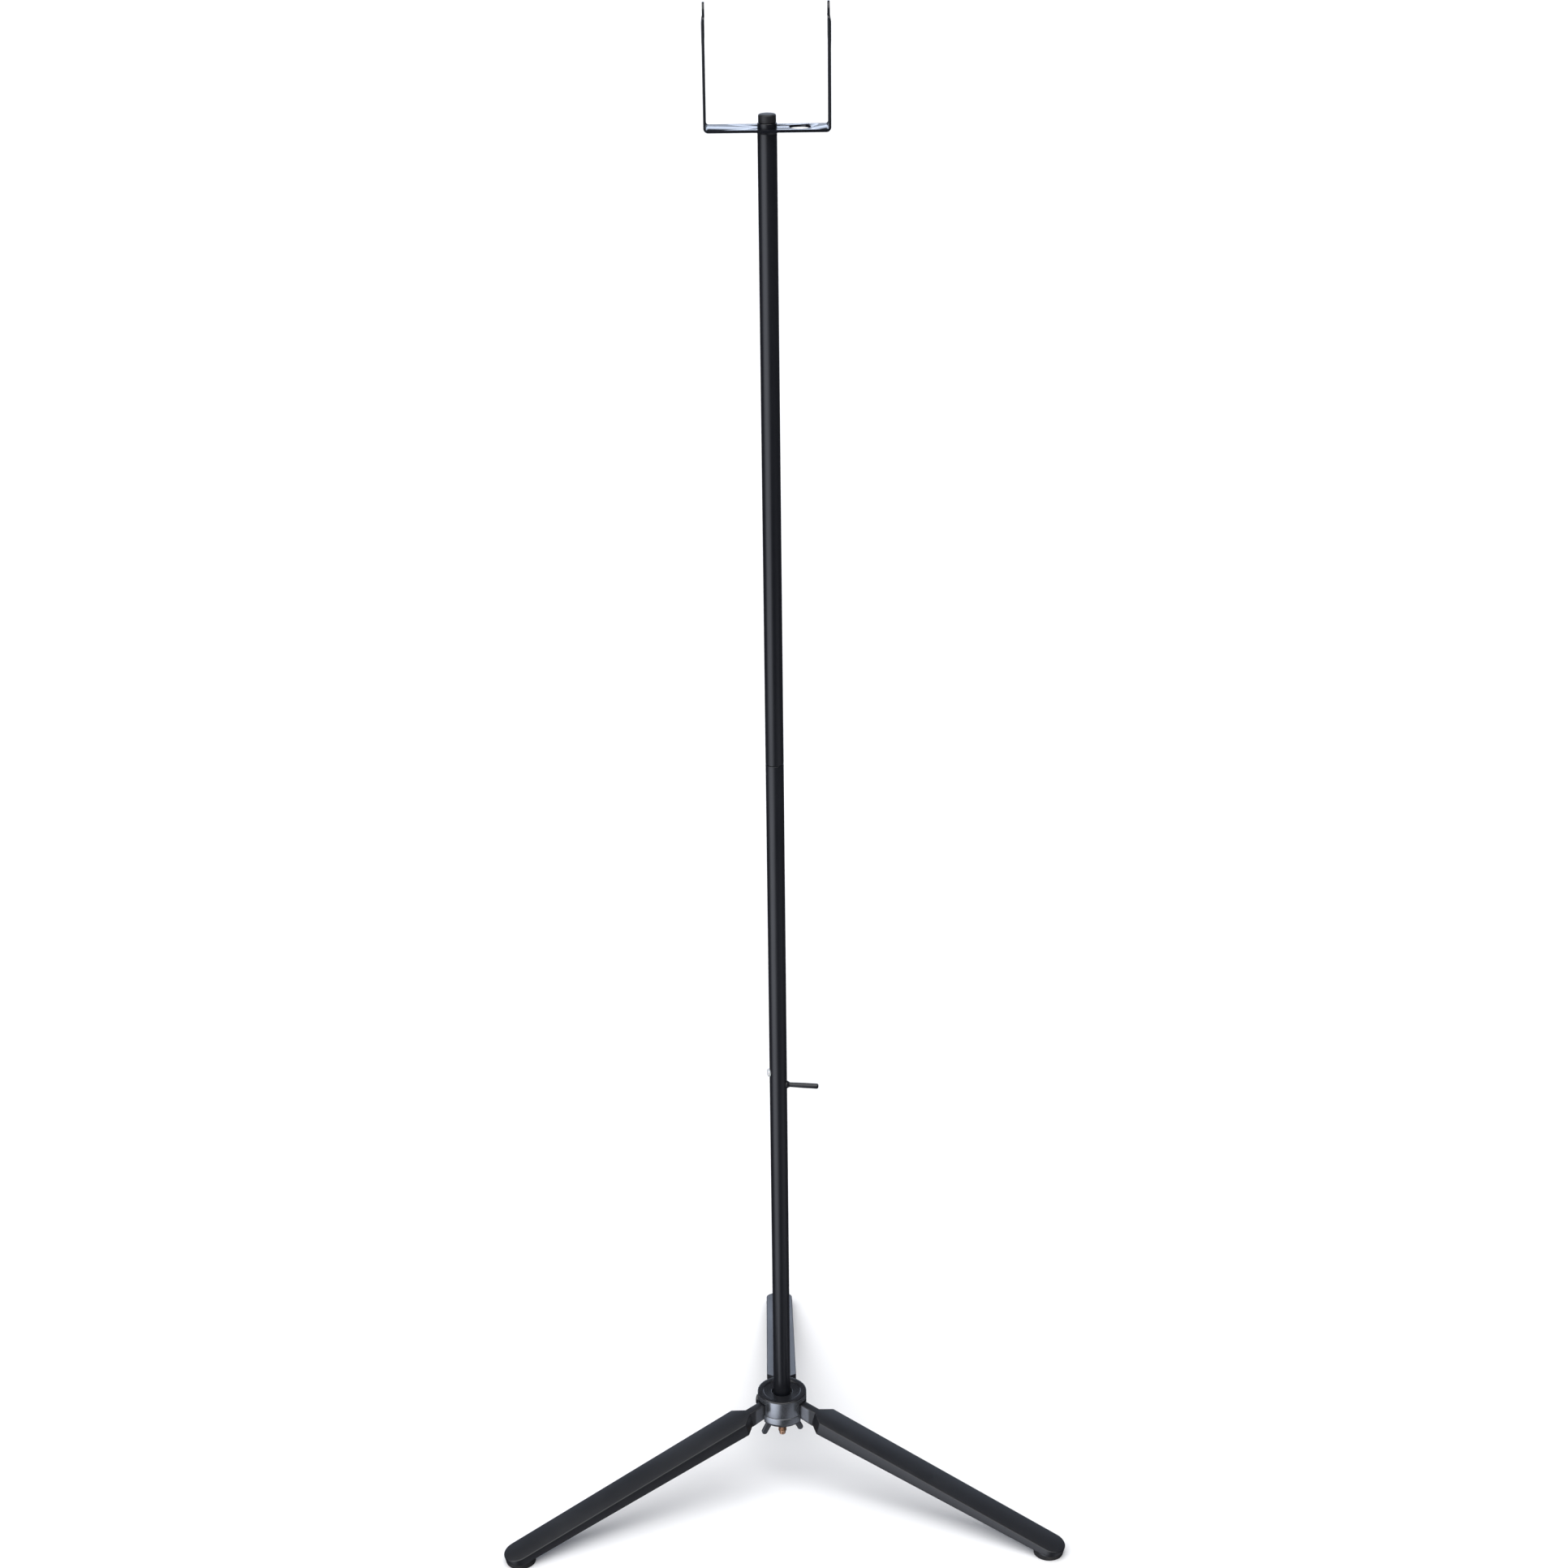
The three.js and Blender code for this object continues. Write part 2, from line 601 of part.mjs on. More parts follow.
function legOutline() {
  const { shape, halfWidthAt } = legPlan(0, SHOULDER_END, FOOT_PLACE);
  shape.absarc(FOOT_PLACE, 0, LEG_TIP_HALF_WIDTH, -Math.PI / 2, Math.PI / 2, false);
  shape.lineTo(SHOULDER_END, halfWidthAt(SHOULDER_END));
  shape.lineTo(NECK_END, NECK_HALF_WIDTH);
  shape.lineTo(NECK_END, -NECK_HALF_WIDTH);
  shape.closePath();
  return shape;
}

// What lies under the leg's sloping underside.
function undersideTrim() {
  const rootUnder = LEG_TOP - LEG_ROOT_THICKNESS;
  const tipUnder = LEG_TOP - LEG_TIP_THICKNESS;
  const outline = shapeFrom([
    [NECK_END - 5, -40],
    [FOOT_PLACE + 30, -40],
    [FOOT_PLACE + 30, tipUnder],
    [FOOT_PLACE, tipUnder],
    [SHOULDER_END, rootUnder],
    [NECK_END - 5, rootUnder - 0.5],
  ]);
  return sidePrism(outline, 60);
}

// The hollow of the casting between two ribs, open at the bottom.
function legHollow(start, end) {
  const { shape, halfWidthAt } = legPlan(LEG_WALL, start, end);
  shape.lineTo(end, halfWidthAt(end));
  shape.lineTo(start, halfWidthAt(start));
  shape.closePath();
  return prism(shape, -30, LEG_TOP - LEG_SKIN);
}

function legHollows() {
  const first = SHOULDER_END + 6;
  const last = FOOT_PLACE - FOOT_RADIUS - 1;
  const starts = [first, ...RIB_PLACES.map((place) => place + RIB_THICKNESS / 2)];
  const ends = [...RIB_PLACES.map((place) => place - RIB_THICKNESS / 2), last];
  return starts.map((start, i) => legHollow(start, ends[i]));
}

// A slab under a given height, to cut a foot level with the floor.
function below(z) {
  return block(200, 350, -40, 40, z - 60, z);
}

function above(z) {
  return block(200, 350, -40, 40, z, z + 60);
}

function leg() {
  const plan = prism(legOutline(), -30, LEG_TOP, 16);
  const shell = cut(plan, undersideTrim(), ...legHollows());
  const neck = sidePrism(neckProfile(), NECK_HALF_WIDTH * 2);
  const foot = bar(FOOT_RADIUS, -30, LEG_TOP - 1).translate(FOOT_PLACE, 0, 0);
  const pinHole = bar(PIN_RADIUS + GAP, -20, 20, 16).rotateX(Math.PI / 2);
  const whole = toHinge(cut(join(shell, neck, foot), pinHole));
  return cut(whole, below(PAD_THICKNESS), padPlug(GAP));
}

// The plug on top of a foot pad, or the hole for it when it is drawn fatter.
function padPlug(extra) {
  const top = PAD_THICKNESS + PAD_PLUG_HEIGHT + extra;
  return bar(PAD_PLUG_RADIUS + extra, PAD_THICKNESS - 2, top, 24).translate(footCentre(), 0, 0);
}

// Where the foot's axis meets the floor, from the mast's axis.
function footCentre() {
  const slope = radians(LEG_SLOPE);
  const drop = (PIVOT_Z - FOOT_PLACE * Math.sin(slope)) / Math.cos(slope);
  return PIVOT_RADIUS + FOOT_PLACE * Math.cos(slope) - drop * Math.sin(slope);
}

function footPad() {
  const round = toHinge(bar(FOOT_RADIUS - 0.2, -30, LEG_TOP - 2).translate(FOOT_PLACE, 0, 0));
  const puck = cut(round, below(0), above(PAD_THICKNESS - GAP));
  return join(puck, padPlug(0));
}

function hingePin() {
  return bar(PIN_RADIUS, -PIN_HALF_LENGTH, PIN_HALF_LENGTH, 20)
    .rotateX(Math.PI / 2)
    .translate(PIVOT_RADIUS, 0, PIVOT_Z);
}

// ---------------------------------------------------------------- the stand

const stand = new THREE.Group();

function add(name, geometry, material, parent = stand) {
  const mesh = new THREE.Mesh(geometry, material);
  mesh.name = name;
  parent.add(mesh);
}

add('hub_body', hubBody(), castBlack);
add('clamp_ring', clampRing(), castBlack);
add('set_screw', setScrew(), coatedSteel);
add('hub_bolt', hubBolt(), copperyBrass);
add('bolt_washer', boltWasher(), zincSteel);
add('wing_nut', wingNut(), castBlack);

add('lower_tube', lowerTube(), coatedSteel);
add('mast_base_insert', mastBaseInsert(), zincSteel);
add('lower_joint_insert', lowerJointInsert(), zincSteel);
add('joint_stud', jointStud(), zincSteel);
add('mast_peg', mastPeg(), coatedSteel);
add('side_rivet', sideRivet(), paleNylon);

add('upper_tube', upperTube(), coatedSteel);
add('upper_joint_insert', upperJointInsert(), zincSteel);
add('fork_bracket', forkBracket(), coatedSteel);
add('fork_bead', forkBead(), coatedSteel);
add('mast_cap', mastCap(), blackPlastic);

for (const [side, azimuth] of Object.entries(LEG_AZIMUTHS)) {
  const turned = new THREE.Group();
  turned.rotation.z = radians(azimuth);
  add(`leg_${side}`, leg(), castBlack, turned);
  add(`hinge_pin_${side}`, hingePin(), zincSteel, turned);
  add(`foot_pad_${side}`, footPad(), rubber, turned);
  stand.add(turned);
}

// The origin is the middle of the footprint, so the mast stands a little in front of it.
stand.updateMatrixWorld(true);
const footprint = new THREE.Box3().setFromObject(stand, true);
stand.position.y = -(footprint.min.y + footprint.max.y) / 2;

export default stand;
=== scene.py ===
"""Looks for a light stand: a two-section mast on a hub with three folding legs, and a strap fork on top."""

import math

import bmesh
import bpy
from mathutils import Matrix, Vector


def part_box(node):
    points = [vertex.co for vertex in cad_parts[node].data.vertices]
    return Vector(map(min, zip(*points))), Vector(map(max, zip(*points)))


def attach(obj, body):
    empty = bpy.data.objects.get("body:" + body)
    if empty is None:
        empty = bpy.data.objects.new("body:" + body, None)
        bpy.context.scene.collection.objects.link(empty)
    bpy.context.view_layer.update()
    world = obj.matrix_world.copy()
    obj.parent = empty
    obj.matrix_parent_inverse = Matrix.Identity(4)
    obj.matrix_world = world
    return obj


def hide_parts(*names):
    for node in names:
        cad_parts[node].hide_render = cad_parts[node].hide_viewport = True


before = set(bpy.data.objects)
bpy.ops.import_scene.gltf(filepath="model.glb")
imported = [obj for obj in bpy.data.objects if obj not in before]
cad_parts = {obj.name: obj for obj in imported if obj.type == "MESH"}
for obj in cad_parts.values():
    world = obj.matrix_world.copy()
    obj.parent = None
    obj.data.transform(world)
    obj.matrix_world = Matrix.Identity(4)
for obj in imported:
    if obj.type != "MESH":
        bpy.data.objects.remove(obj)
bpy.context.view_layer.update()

# ---------------------------------------------------------------- sizes, in metres

MM = 0.001
FINE = 96  # sides of a large turned piece
SMALL = 48  # sides of a small one
HALF_TURN = math.pi
QUARTER_TURN = math.pi / 2


def middle(node):
    low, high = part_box(node)
    return (low + high) / 2


MAST = middle("lower_tube")
MAST_Y = MAST.y
TUBE_RADIUS = (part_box("lower_tube")[1].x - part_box("lower_tube")[0].x) / 2
TUBE_WALL = 1.5 * MM
GAP = 0.3 * MM

STRAP = 2 * MM  # thickness of the fork's strap
STRAP_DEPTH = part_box("fork_bracket")[1].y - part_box("fork_bracket")[0].y
FORK_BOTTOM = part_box("fork_bracket")[0].z
FORK_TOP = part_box("fork_bracket")[1].z
PLATE_TOP = FORK_BOTTOM + STRAP
HEAD_SWELL = 0.15 * MM
FORK_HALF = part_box("fork_bracket")[1].x - HEAD_SWELL
PLATE_HOLE_X = 26.5 * MM
PLATE_HOLE_RADIUS = 9 * MM
ARM_HEAD = 1365 * MM  # height where the arms' swollen ends start
TONGUE_SHOULDER = 1381.8 * MM  # height where the arms narrow to their tongues

HUB_LOW, HUB_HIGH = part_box("hub_body")
HUB_RADIUS = (HUB_HIGH.x - HUB_LOW.x) / 2
RING_LOW, RING_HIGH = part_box("clamp_ring")
BOLT_LOW, BOLT_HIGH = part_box("hub_bolt")
BOLT_RADIUS = (BOLT_HIGH.x - BOLT_LOW.x) / 2
BOLT_HOLE = BOLT_RADIUS + GAP
PITCH = 1.25 * MM
BOLT_POINT = 2.9 * MM  # length of the bolt's plain end
WING_HEADING = math.radians(192)
PEG_TURN = math.radians(-8.7)  # of the peg about the mast, from straight right

SCREW_AZIMUTH = math.radians(168)
SCREW_Z = 74.6 * MM
SCREW_RECESS = 22.4 * MM  # floor of the recess for its head, from the mast's axis
SCREW_RECESS_RADIUS = 4.9 * MM

LEG_AZIMUTHS = {"left": 210, "right": 330, "rear": 90}
LEG_SLOPE = 14.5  # degrees below horizontal
PIVOT_RADIUS = 17.3 * MM  # hinge pin from the mast's axis
PIVOT_Z = 72.2 * MM
PIN_RADIUS = 2 * MM
LEG_TOP = 9.2 * MM  # upper face above the hinge pin, square to the leg
LEG_FALL = math.tan(math.radians(LEG_SLOPE))
NECK_CREST = PIVOT_Z + LEG_TOP * math.hypot(1, LEG_FALL) + PIVOT_RADIUS * LEG_FALL  # at the mast's axis
NECK_HALF = 4.1 * MM
HEEL_RADIUS = 5.6 * MM
NECK_UNDER = 7 * MM
NECK_END = 19 * MM
SHOULDER_END = 29.6 * MM
ROOT_HALF = 14.2 * MM
TIP_HALF = 13.3 * MM
ROOT_THICKNESS = 13.6 * MM
TIP_THICKNESS = 7.5 * MM
LEG_WALL = 2.6 * MM
LEG_SKIN = 3.2 * MM
WELL_BELOW = -30 * MM  # lower than any part of a leg, in its own frame
RIB_PLACES = [85 * MM, 135 * MM, 185 * MM, 230 * MM]
RIB_HALF = 1.2 * MM
FOOT_PLACE = 274.6 * MM
FOOT_RADIUS = 13.5 * MM
PAD_THICKNESS = 5 * MM
HUB_SLOT_HALF = 6.5 * MM
RING_SLOT_HALF = NECK_HALF + 2 * GAP
SLOT_INNER = 10.8 * MM
SLOT_CEILING = 82 * MM

# ---------------------------------------------------------------- camera


def add_camera():
    """The camera at the photograph's viewing angle, found by fitting the stand's known places."""
    distance = 2.50154  # from the mast, along the floor
    height = 1.77285
    heading = math.radians(-0.352)  # of the camera about the mast
    look = math.radians(-0.536)
    pitch = math.radians(22.853)
    roll = math.radians(-0.603)
    ahead = Vector((-math.sin(look), math.cos(look), 0))
    level = Vector((math.cos(look), math.sin(look), 0))
    forward = math.cos(pitch) * ahead - Vector((0, 0, math.sin(pitch)))
    upright = level.cross(forward)
    right = math.cos(roll) * level + math.sin(roll) * upright
    up = -math.sin(roll) * level + math.cos(roll) * upright
    data = bpy.data.cameras.new("camera")
    data.sensor_width = 36
    data.lens = 70.82
    data.clip_end = 100
    camera = bpy.data.objects.new("camera", data)
    bpy.context.scene.collection.objects.link(camera)
    rotation = Matrix((right, up, -forward)).transposed()
    place = Vector((distance * math.sin(heading), MAST_Y - distance * math.cos(heading), height))
    camera.matrix_world = Matrix.Translation(place) @ rotation.to_4x4()
    bpy.context.scene.camera = camera


# ---------------------------------------------------------------- mesh helpers


def fillet(points, steps=5):
    """A polyline from (x, y, radius) points, with an arc of that radius at each inner corner."""
    flat = [Vector(point[:2]) for point in points]
    line = [flat[0]]
    for before, (x, y, *radius), after in zip(flat, points[1:], flat[2:]):
        corner = Vector((x, y))
        if not radius or radius[0] == 0:
            line.append(corner)
            continue
        back = (before - corner).normalized()
        ahead = (after - corner).normalized()
        half = math.acos(max(-1, min(1, back.dot(ahead)))) / 2
        inward = (back + ahead).normalized()
        centre = corner + inward * radius[0] / math.sin(half)
        start = corner + back * radius[0] / math.tan(half) - centre
        sweep = start.angle_signed(corner + ahead * radius[0] / math.tan(half) - centre)
        for step in range(steps + 1):
            turn = Matrix.Rotation(-sweep * step / steps, 2)
            line.append(centre + turn @ start)
    line.append(flat[-1])
    return line


def arc(centre, radius, start, end, steps):
    """Points on an arc between two angles in degrees, both ends included."""
    angles = [math.radians(start + (end - start) * step / steps) for step in range(steps + 1)]
    return [Vector((centre[0] + radius * math.cos(a), centre[1] + radius * math.sin(a))) for a in angles]


def to_object(name, form):
    """A linked object from a bmesh, with its faces pointing out."""
    bmesh.ops.remove_doubles(form, verts=form.verts, dist=1e-7)
    bmesh.ops.recalc_face_normals(form, faces=form.faces)
    mesh = bpy.data.meshes.new(name)
    form.to_mesh(mesh)
    form.free()
    piece = bpy.data.objects.new(name, mesh)
    bpy.context.scene.collection.objects.link(piece)
    return piece


def turned(name, profile, sides=FINE, place=None):
    """A solid of revolution from (radius, height) points that start and end on its axis or meet."""
    form = bmesh.new()
    rings = []
    for radius, height in profile:
        if radius < 1e-9:
            rings.append([form.verts.new((0, 0, height))] * sides)
            continue
        angles = [2 * HALF_TURN * side / sides for side in range(sides)]
        rings.append([form.verts.new((radius * math.cos(a), radius * math.sin(a), height)) for a in angles])
    for lower, upper in zip(rings, rings[1:]):
        for side in range(sides):
            after = (side + 1) % sides
            corners = []
            for vert in (lower[side], lower[after], upper[after], upper[side]):
                if vert not in corners:
                    corners.append(vert)
            if len(corners) > 2:
                form.faces.new(corners)
    form.transform(place or Matrix.Translation((0, MAST_Y, 0)))
    return to_object(name, form)


def rod(radius, low, high, place=None, sides=SMALL):
    """A plain round bar, for cutting and joining."""
    return turned("rod", [(0, low), (radius, low), (radius, high), (0, high)], sides, place)


def prism(name, outline, low, high):
    """A flat outline in X and Y drawn out from one height to another."""
    form = bmesh.new()
    bottom = [form.verts.new((x, y, low)) for x, y in outline]
    top = [form.verts.new((x, y, high)) for x, y in outline]
    form.faces.new(bottom[::-1])
    form.faces.new(top)
    for i, corner in enumerate(bottom):
        after = (i + 1) % len(bottom)
        form.faces.new((corner, bottom[after], top[after], top[i]))
    return to_object(name, form)


def side_prism(name, outline, half_depth):
    """An outline in X and Z drawn out along Y, equally to both sides."""
    piece = prism(name, outline, -half_depth, half_depth)
    piece.data.transform(Matrix.Rotation(QUARTER_TURN, 4, "X"))
    return piece


def block(low, high):
    """A box between two corners, for cutting."""
    outline = [(low[0], low[1]), (high[0], low[1]), (high[0], high[1]), (low[0], high[1])]
    return prism("cutter", outline, low[2], high[2])


def settle(piece):
    """Turns a piece's modifiers into its mesh."""
    shapes = bpy.context.evaluated_depsgraph_get()
    mesh = bpy.data.meshes.new_from_object(piece.evaluated_get(shapes))
    piece.modifiers.clear()
    piece.data = mesh
    return piece


def combine(piece, others, operation):
    """Joins, cuts or intersects a piece with others, which are used up."""
    for other in others:
        step = piece.modifiers.new("combine", "BOOLEAN")
        step.operation = operation
        step.solver = "EXACT"
        step.object = other
        settle(piece)
        bpy.data.objects.remove(other)
    return piece


def cut(piece, *others):
    return combine(piece, others, "DIFFERENCE")


def join(piece, *others):
    return combine(piece, others, "UNION")


def tidy_faces(piece):
    """Merges flat neighbouring faces, so that edges can be rounded evenly."""
    form = bmesh.new()
    form.from_mesh(piece.data)
    bmesh.ops.remove_doubles(form, verts=form.verts, dist=2e-6)
    bmesh.ops.dissolve_limit(form, angle_limit=math.radians(0.5), verts=form.verts, edges=form.edges)
    form.to_mesh(piece.data)
    form.free()
    return piece


def round_edges(piece, width, segments=3, angle=35):
    step = piece.modifiers.new("round", "BEVEL")
    step.width = width
    step.segments = segments
    step.limit_method = "ANGLE"
    step.angle_limit = math.radians(angle)
    step.harden_normals = False
    return settle(piece)


def smooth(piece, angle=32):
    """Smooth shading that keeps edges sharper than an angle."""
    piece.data.shade_smooth()
    piece.data.set_sharp_from_angle(angle=math.radians(angle))
    return piece


def show(piece, material, slot, body, *nodes):
    """A finished piece: smooth, in its material, riding on its body in place of its CAD nodes."""
    smooth(piece)
    piece.data.materials.clear()
    piece.data.materials.append(material)
    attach(piece, body)
    if nodes:
        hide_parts(*nodes)
    return piece


# ---------------------------------------------------------------- materials


class Paint:
    """A material under construction: short ways to add the nodes that it is made of."""

    def __init__(self, name, metallic=0.0, ior=1.5):
        self.material = bpy.data.materials.new(name)
        self.material.use_nodes = True
        self.nodes = self.material.node_tree.nodes
        self.links = self.material.node_tree.links
        self.shader = self.nodes["Principled BSDF"]
        self.shader.inputs["Metallic"].default_value = metallic
        self.shader.inputs["IOR"].default_value = ior
        self.place = self.nodes.new("ShaderNodeTexCoord").outputs["Object"]

    def stretched(self, scale):
        """The place, stretched by a scale along each axis."""
        mapping = self.nodes.new("ShaderNodeMapping")
        mapping.inputs["Scale"].default_value = scale
        self.links.new(self.place, mapping.inputs["Vector"])
        return mapping.outputs["Vector"]

    def noise(self, scale, detail=4.0, roughness=0.55, vector=None):
        texture = self.nodes.new("ShaderNodeTexNoise")
        texture.inputs["Scale"].default_value = scale
        texture.inputs["Detail"].default_value = detail
        texture.inputs["Roughness"].default_value = roughness
        self.links.new(vector or self.place, texture.inputs["Vector"])
        return texture.outputs["Fac"]

    def span(self, value, low, high, out_low=0.0, out_high=1.0):
        """A value taken from one range to another, held at its ends."""
        step = self.nodes.new("ShaderNodeMapRange")
        step.inputs["From Min"].default_value = low
        step.inputs["From Max"].default_value = high
        step.inputs["To Min"].default_value = out_low
        step.inputs["To Max"].default_value = out_high
        self.links.new(value, step.inputs["Value"])
        return step.outputs["Result"]

    def from_mast(self):
        """The distance of a place from the mast's axis."""
        offset = self.nodes.new("ShaderNodeVectorMath")
        offset.operation = "MULTIPLY_ADD"
        offset.inputs[1].default_value = (1, 1, 0)
        offset.inputs[2].default_value = (0, -MAST_Y, 0)
        self.links.new(self.place, offset.inputs[0])
        length = self.nodes.new("ShaderNodeVectorMath")
        length.operation = "LENGTH"
        self.links.new(offset.outputs["Vector"], length.inputs[0])
        return length.outputs["Value"]

    def height(self):
        split = self.nodes.new("ShaderNodeSeparateXYZ")
        self.links.new(self.place, split.inputs[0])
        return split.outputs["Z"]

    def math(self, operation, first, second):
        step = self.nodes.new("ShaderNodeMath")
        step.operation = operation
        step.use_clamp = True
        for socket, value in zip(step.inputs, (first, second)):
            if isinstance(value, float):
                socket.default_value = value
            else:
                self.links.new(value, socket)
        return step.outputs["Value"]

    def mix(self, amount, first, second):
        """A colour between two, each a colour or another node's output."""
        step = self.nodes.new("ShaderNodeMix")
        step.data_type = "RGBA"
        self.links.new(amount, step.inputs["Factor"])
        for socket, value in zip((step.inputs[6], step.inputs[7]), (first, second)):
            if isinstance(value, tuple):
                socket.default_value = (*value, 1)
            else:
                self.links.new(value, socket)
        return step.outputs[2]

    def bump(self, height, strength, distance, below=None):
        step = self.nodes.new("ShaderNodeBump")
        step.inputs["Strength"].default_value = strength
        step.inputs["Distance"].default_value = distance
        self.links.new(height, step.inputs["Height"])
        if below is not None:
            self.links.new(below, step.inputs["Normal"])
        return step.outputs["Normal"]

    def finish(self, colour, roughness, normal=None):
        self.links.new(colour, self.shader.inputs["Base Color"])
        self.links.new(roughness, self.shader.inputs["Roughness"])
        if normal is not None:
            self.links.new(normal, self.shader.inputs["Normal"])
        return self.material


def coated_steel(name, smoothest, dullest, rubbed):
    """Black coat on drawn tube or strap: faint orange peel, long fine rubs and a few dull patches."""
    paint = Paint(name)
    patches = paint.noise(9, detail=6)
    rubs = paint.noise(60, detail=3, vector=paint.stretched((14, 14, 0.5)))
    peel = paint.noise(900, detail=2)
    colour = paint.mix(paint.span(patches, 0.3, 0.7), (0.0055, 0.0062, 0.009), (0.008, 0.009, 0.0125))
    dull = paint.span(rubs, 0.5, 0.8, 0.0, rubbed)
    roughness = paint.math("ADD", paint.span(patches, 0.3, 0.7, smoothest, dullest), dull)
    normal = paint.bump(peel, rubbed, 0.0001, paint.bump(rubs, rubbed / 2, 0.0001))
    return paint.finish(colour, roughness, normal)


def cast_enamel():
    """Semi-gloss black enamel on die castings: pebble grain, ripples and dust, with rubbed neck sides."""
    paint = Paint("cast_enamel")
    patches = paint.noise(14, detail=6)
    dust = paint.span(paint.noise(45, detail=7, roughness=0.7), 0.52, 0.8)
    grain = paint.noise(1500, detail=3, roughness=0.6)
    waves = paint.noise(55, detail=2)
    colour = paint.mix(paint.span(patches, 0.3, 0.7), (0.0065, 0.0072, 0.0095), (0.0095, 0.0103, 0.013))
    colour = paint.mix(dust, colour, (0.015, 0.0157, 0.018))
    reach = paint.from_mast()
    level = paint.math("ADD", paint.height(), paint.math("MULTIPLY", reach, LEG_FALL))
    cheek = paint.span(level, NECK_CREST - 0.9 * MM, NECK_CREST - 0.5 * MM, 1.0, 0.0)
    bare = paint.math("MULTIPLY", cheek, paint.span(reach, 30.5 * MM, 32.5 * MM, 1.0, 0.0))
    worn = paint.math("MULTIPLY", bare, paint.span(paint.noise(120, detail=5), 0.3, 0.55, 0.6, 0.8))
    colour = paint.mix(worn, colour, (0.17, 0.178, 0.194))
    paint.links.new(worn, paint.shader.inputs["Metallic"])
    rough_grain = paint.span(grain, 0.4, 0.8, 0.0, 0.05)
    roughness = paint.math("ADD", paint.span(patches, 0.3, 0.7, 0.32, 0.38), rough_grain)
    normal = paint.bump(grain, 0.1, 0.0001, paint.bump(waves, 0.04, 0.0004))
    return paint.finish(colour, roughness, normal)


def graphite_coat():
    """The hub's own coat, metallic with faint turning lines, with painted shade on its top face: dull black
    and not metallic there.
    """
    paint = Paint("graphite_coat")
    cloud = paint.noise(60, detail=5)
    lines = paint.noise(120, detail=3, vector=paint.stretched((1, 1, 30)))
    grain = paint.noise(1800, detail=3)
    colour = paint.mix(paint.span(cloud, 0.3, 0.7), (0.22, 0.232, 0.252), (0.28, 0.294, 0.318))
    # painted shade: the hub's top face is made dull black and not metallic, darker than its sides
    crown = paint.span(paint.height(), HUB_HIGH.z - 1.4 * MM, HUB_HIGH.z - 0.9 * MM)
    colour = paint.mix(crown, colour, (0.012, 0.0125, 0.015))
    paint.links.new(paint.span(crown, 0.0, 1.0, 0.9, 0.0), paint.shader.inputs["Metallic"])
    roughness = paint.span(cloud, 0.3, 0.7, 0.21, 0.27)
    return paint.finish(colour, roughness, paint.bump(grain, 0.06, 0.0001, paint.bump(lines, 0.04, 0.0001)))


def black_plastic():
    """Moulded black plastic with a fine spark-eroded grain."""
    paint = Paint("black_plastic", ior=1.46)
    grain = paint.noise(2600, detail=3)
    patches = paint.noise(40, detail=4)
    colour = paint.mix(paint.span(patches, 0.3, 0.7), (0.012, 0.012, 0.014), (0.02, 0.02, 0.022))
    roughness = paint.span(grain, 0.3, 0.7, 0.42, 0.56)
    return paint.finish(colour, roughness, paint.bump(grain, 0.2, 0.0001))


def pad_rubber():
    """Matt black rubber, scuffed grey and dusty low down."""
    paint = Paint("pad_rubber", ior=1.45)
    grain = paint.noise(1800, detail=5)
    scuffs = paint.span(paint.noise(120, detail=6), 0.5, 0.75)
    colour = paint.mix(scuffs, (0.011, 0.011, 0.012), (0.03, 0.029, 0.028))
    roughness = paint.span(grain, 0.3, 0.7, 0.68, 0.85)
    return paint.finish(colour, roughness, paint.bump(grain, 0.3, 0.0002))


def zinc_steel():
    """Zinc-plated steel with fine turning marks and slightly cloudy plate."""
    paint = Paint("zinc_steel", metallic=1.0, ior=2.5)
    cloud = paint.noise(160, detail=5)
    marks = paint.noise(300, detail=3, vector=paint.stretched((1, 1, 18)))
    colour = paint.mix(paint.span(cloud, 0.3, 0.7), (0.42, 0.43, 0.45), (0.62, 0.63, 0.66))
    roughness = paint.span(cloud, 0.3, 0.7, 0.26, 0.42)
    return paint.finish(colour, roughness, paint.bump(marks, 0.12, 0.0001))


def coppery_brass():
    """Dull coppery plate, darker and browner where it has tarnished."""
    paint = Paint("coppery_brass", metallic=1.0, ior=2.0)
    tarnish = paint.span(paint.noise(380, detail=6), 0.42, 0.62)
    grain = paint.noise(1600, detail=3)
    colour = paint.mix(tarnish, (0.80, 0.52, 0.36), (0.34, 0.19, 0.12))
    roughness = paint.span(tarnish, 0.0, 1.0, 0.28, 0.5)
    return paint.finish(colour, roughness, paint.bump(grain, 0.15, 0.0001))


def pale_nylon():
    """Off-white moulded nylon, a little yellowed and grubby."""
    paint = Paint("pale_nylon", ior=1.53)
    paint.shader.inputs["Subsurface Weight"].default_value = 0.1
    paint.shader.inputs["Subsurface Scale"].default_value = 0.001
    grime = paint.span(paint.noise(500, detail=6), 0.45, 0.75)
    colour = paint.mix(grime, (0.62, 0.63, 0.65), (0.36, 0.36, 0.37))
    roughness = paint.span(grime, 0.0, 1.0, 0.4, 0.6)
    return paint.finish(colour, roughness, paint.bump(paint.noise(1400), 0.1, 0.0001))


def floor_material():
    """Pale seamless studio paper."""
    paint = Paint("studio_floor", ior=1.3)
    colour = paint.mix(paint.noise(3, detail=3), (0.89, 0.89, 0.895), (0.91, 0.91, 0.915))
    return paint.finish(colour, paint.span(paint.noise(40), 0.3, 0.7, 0.85, 0.95))


# ---------------------------------------------------------------- mast


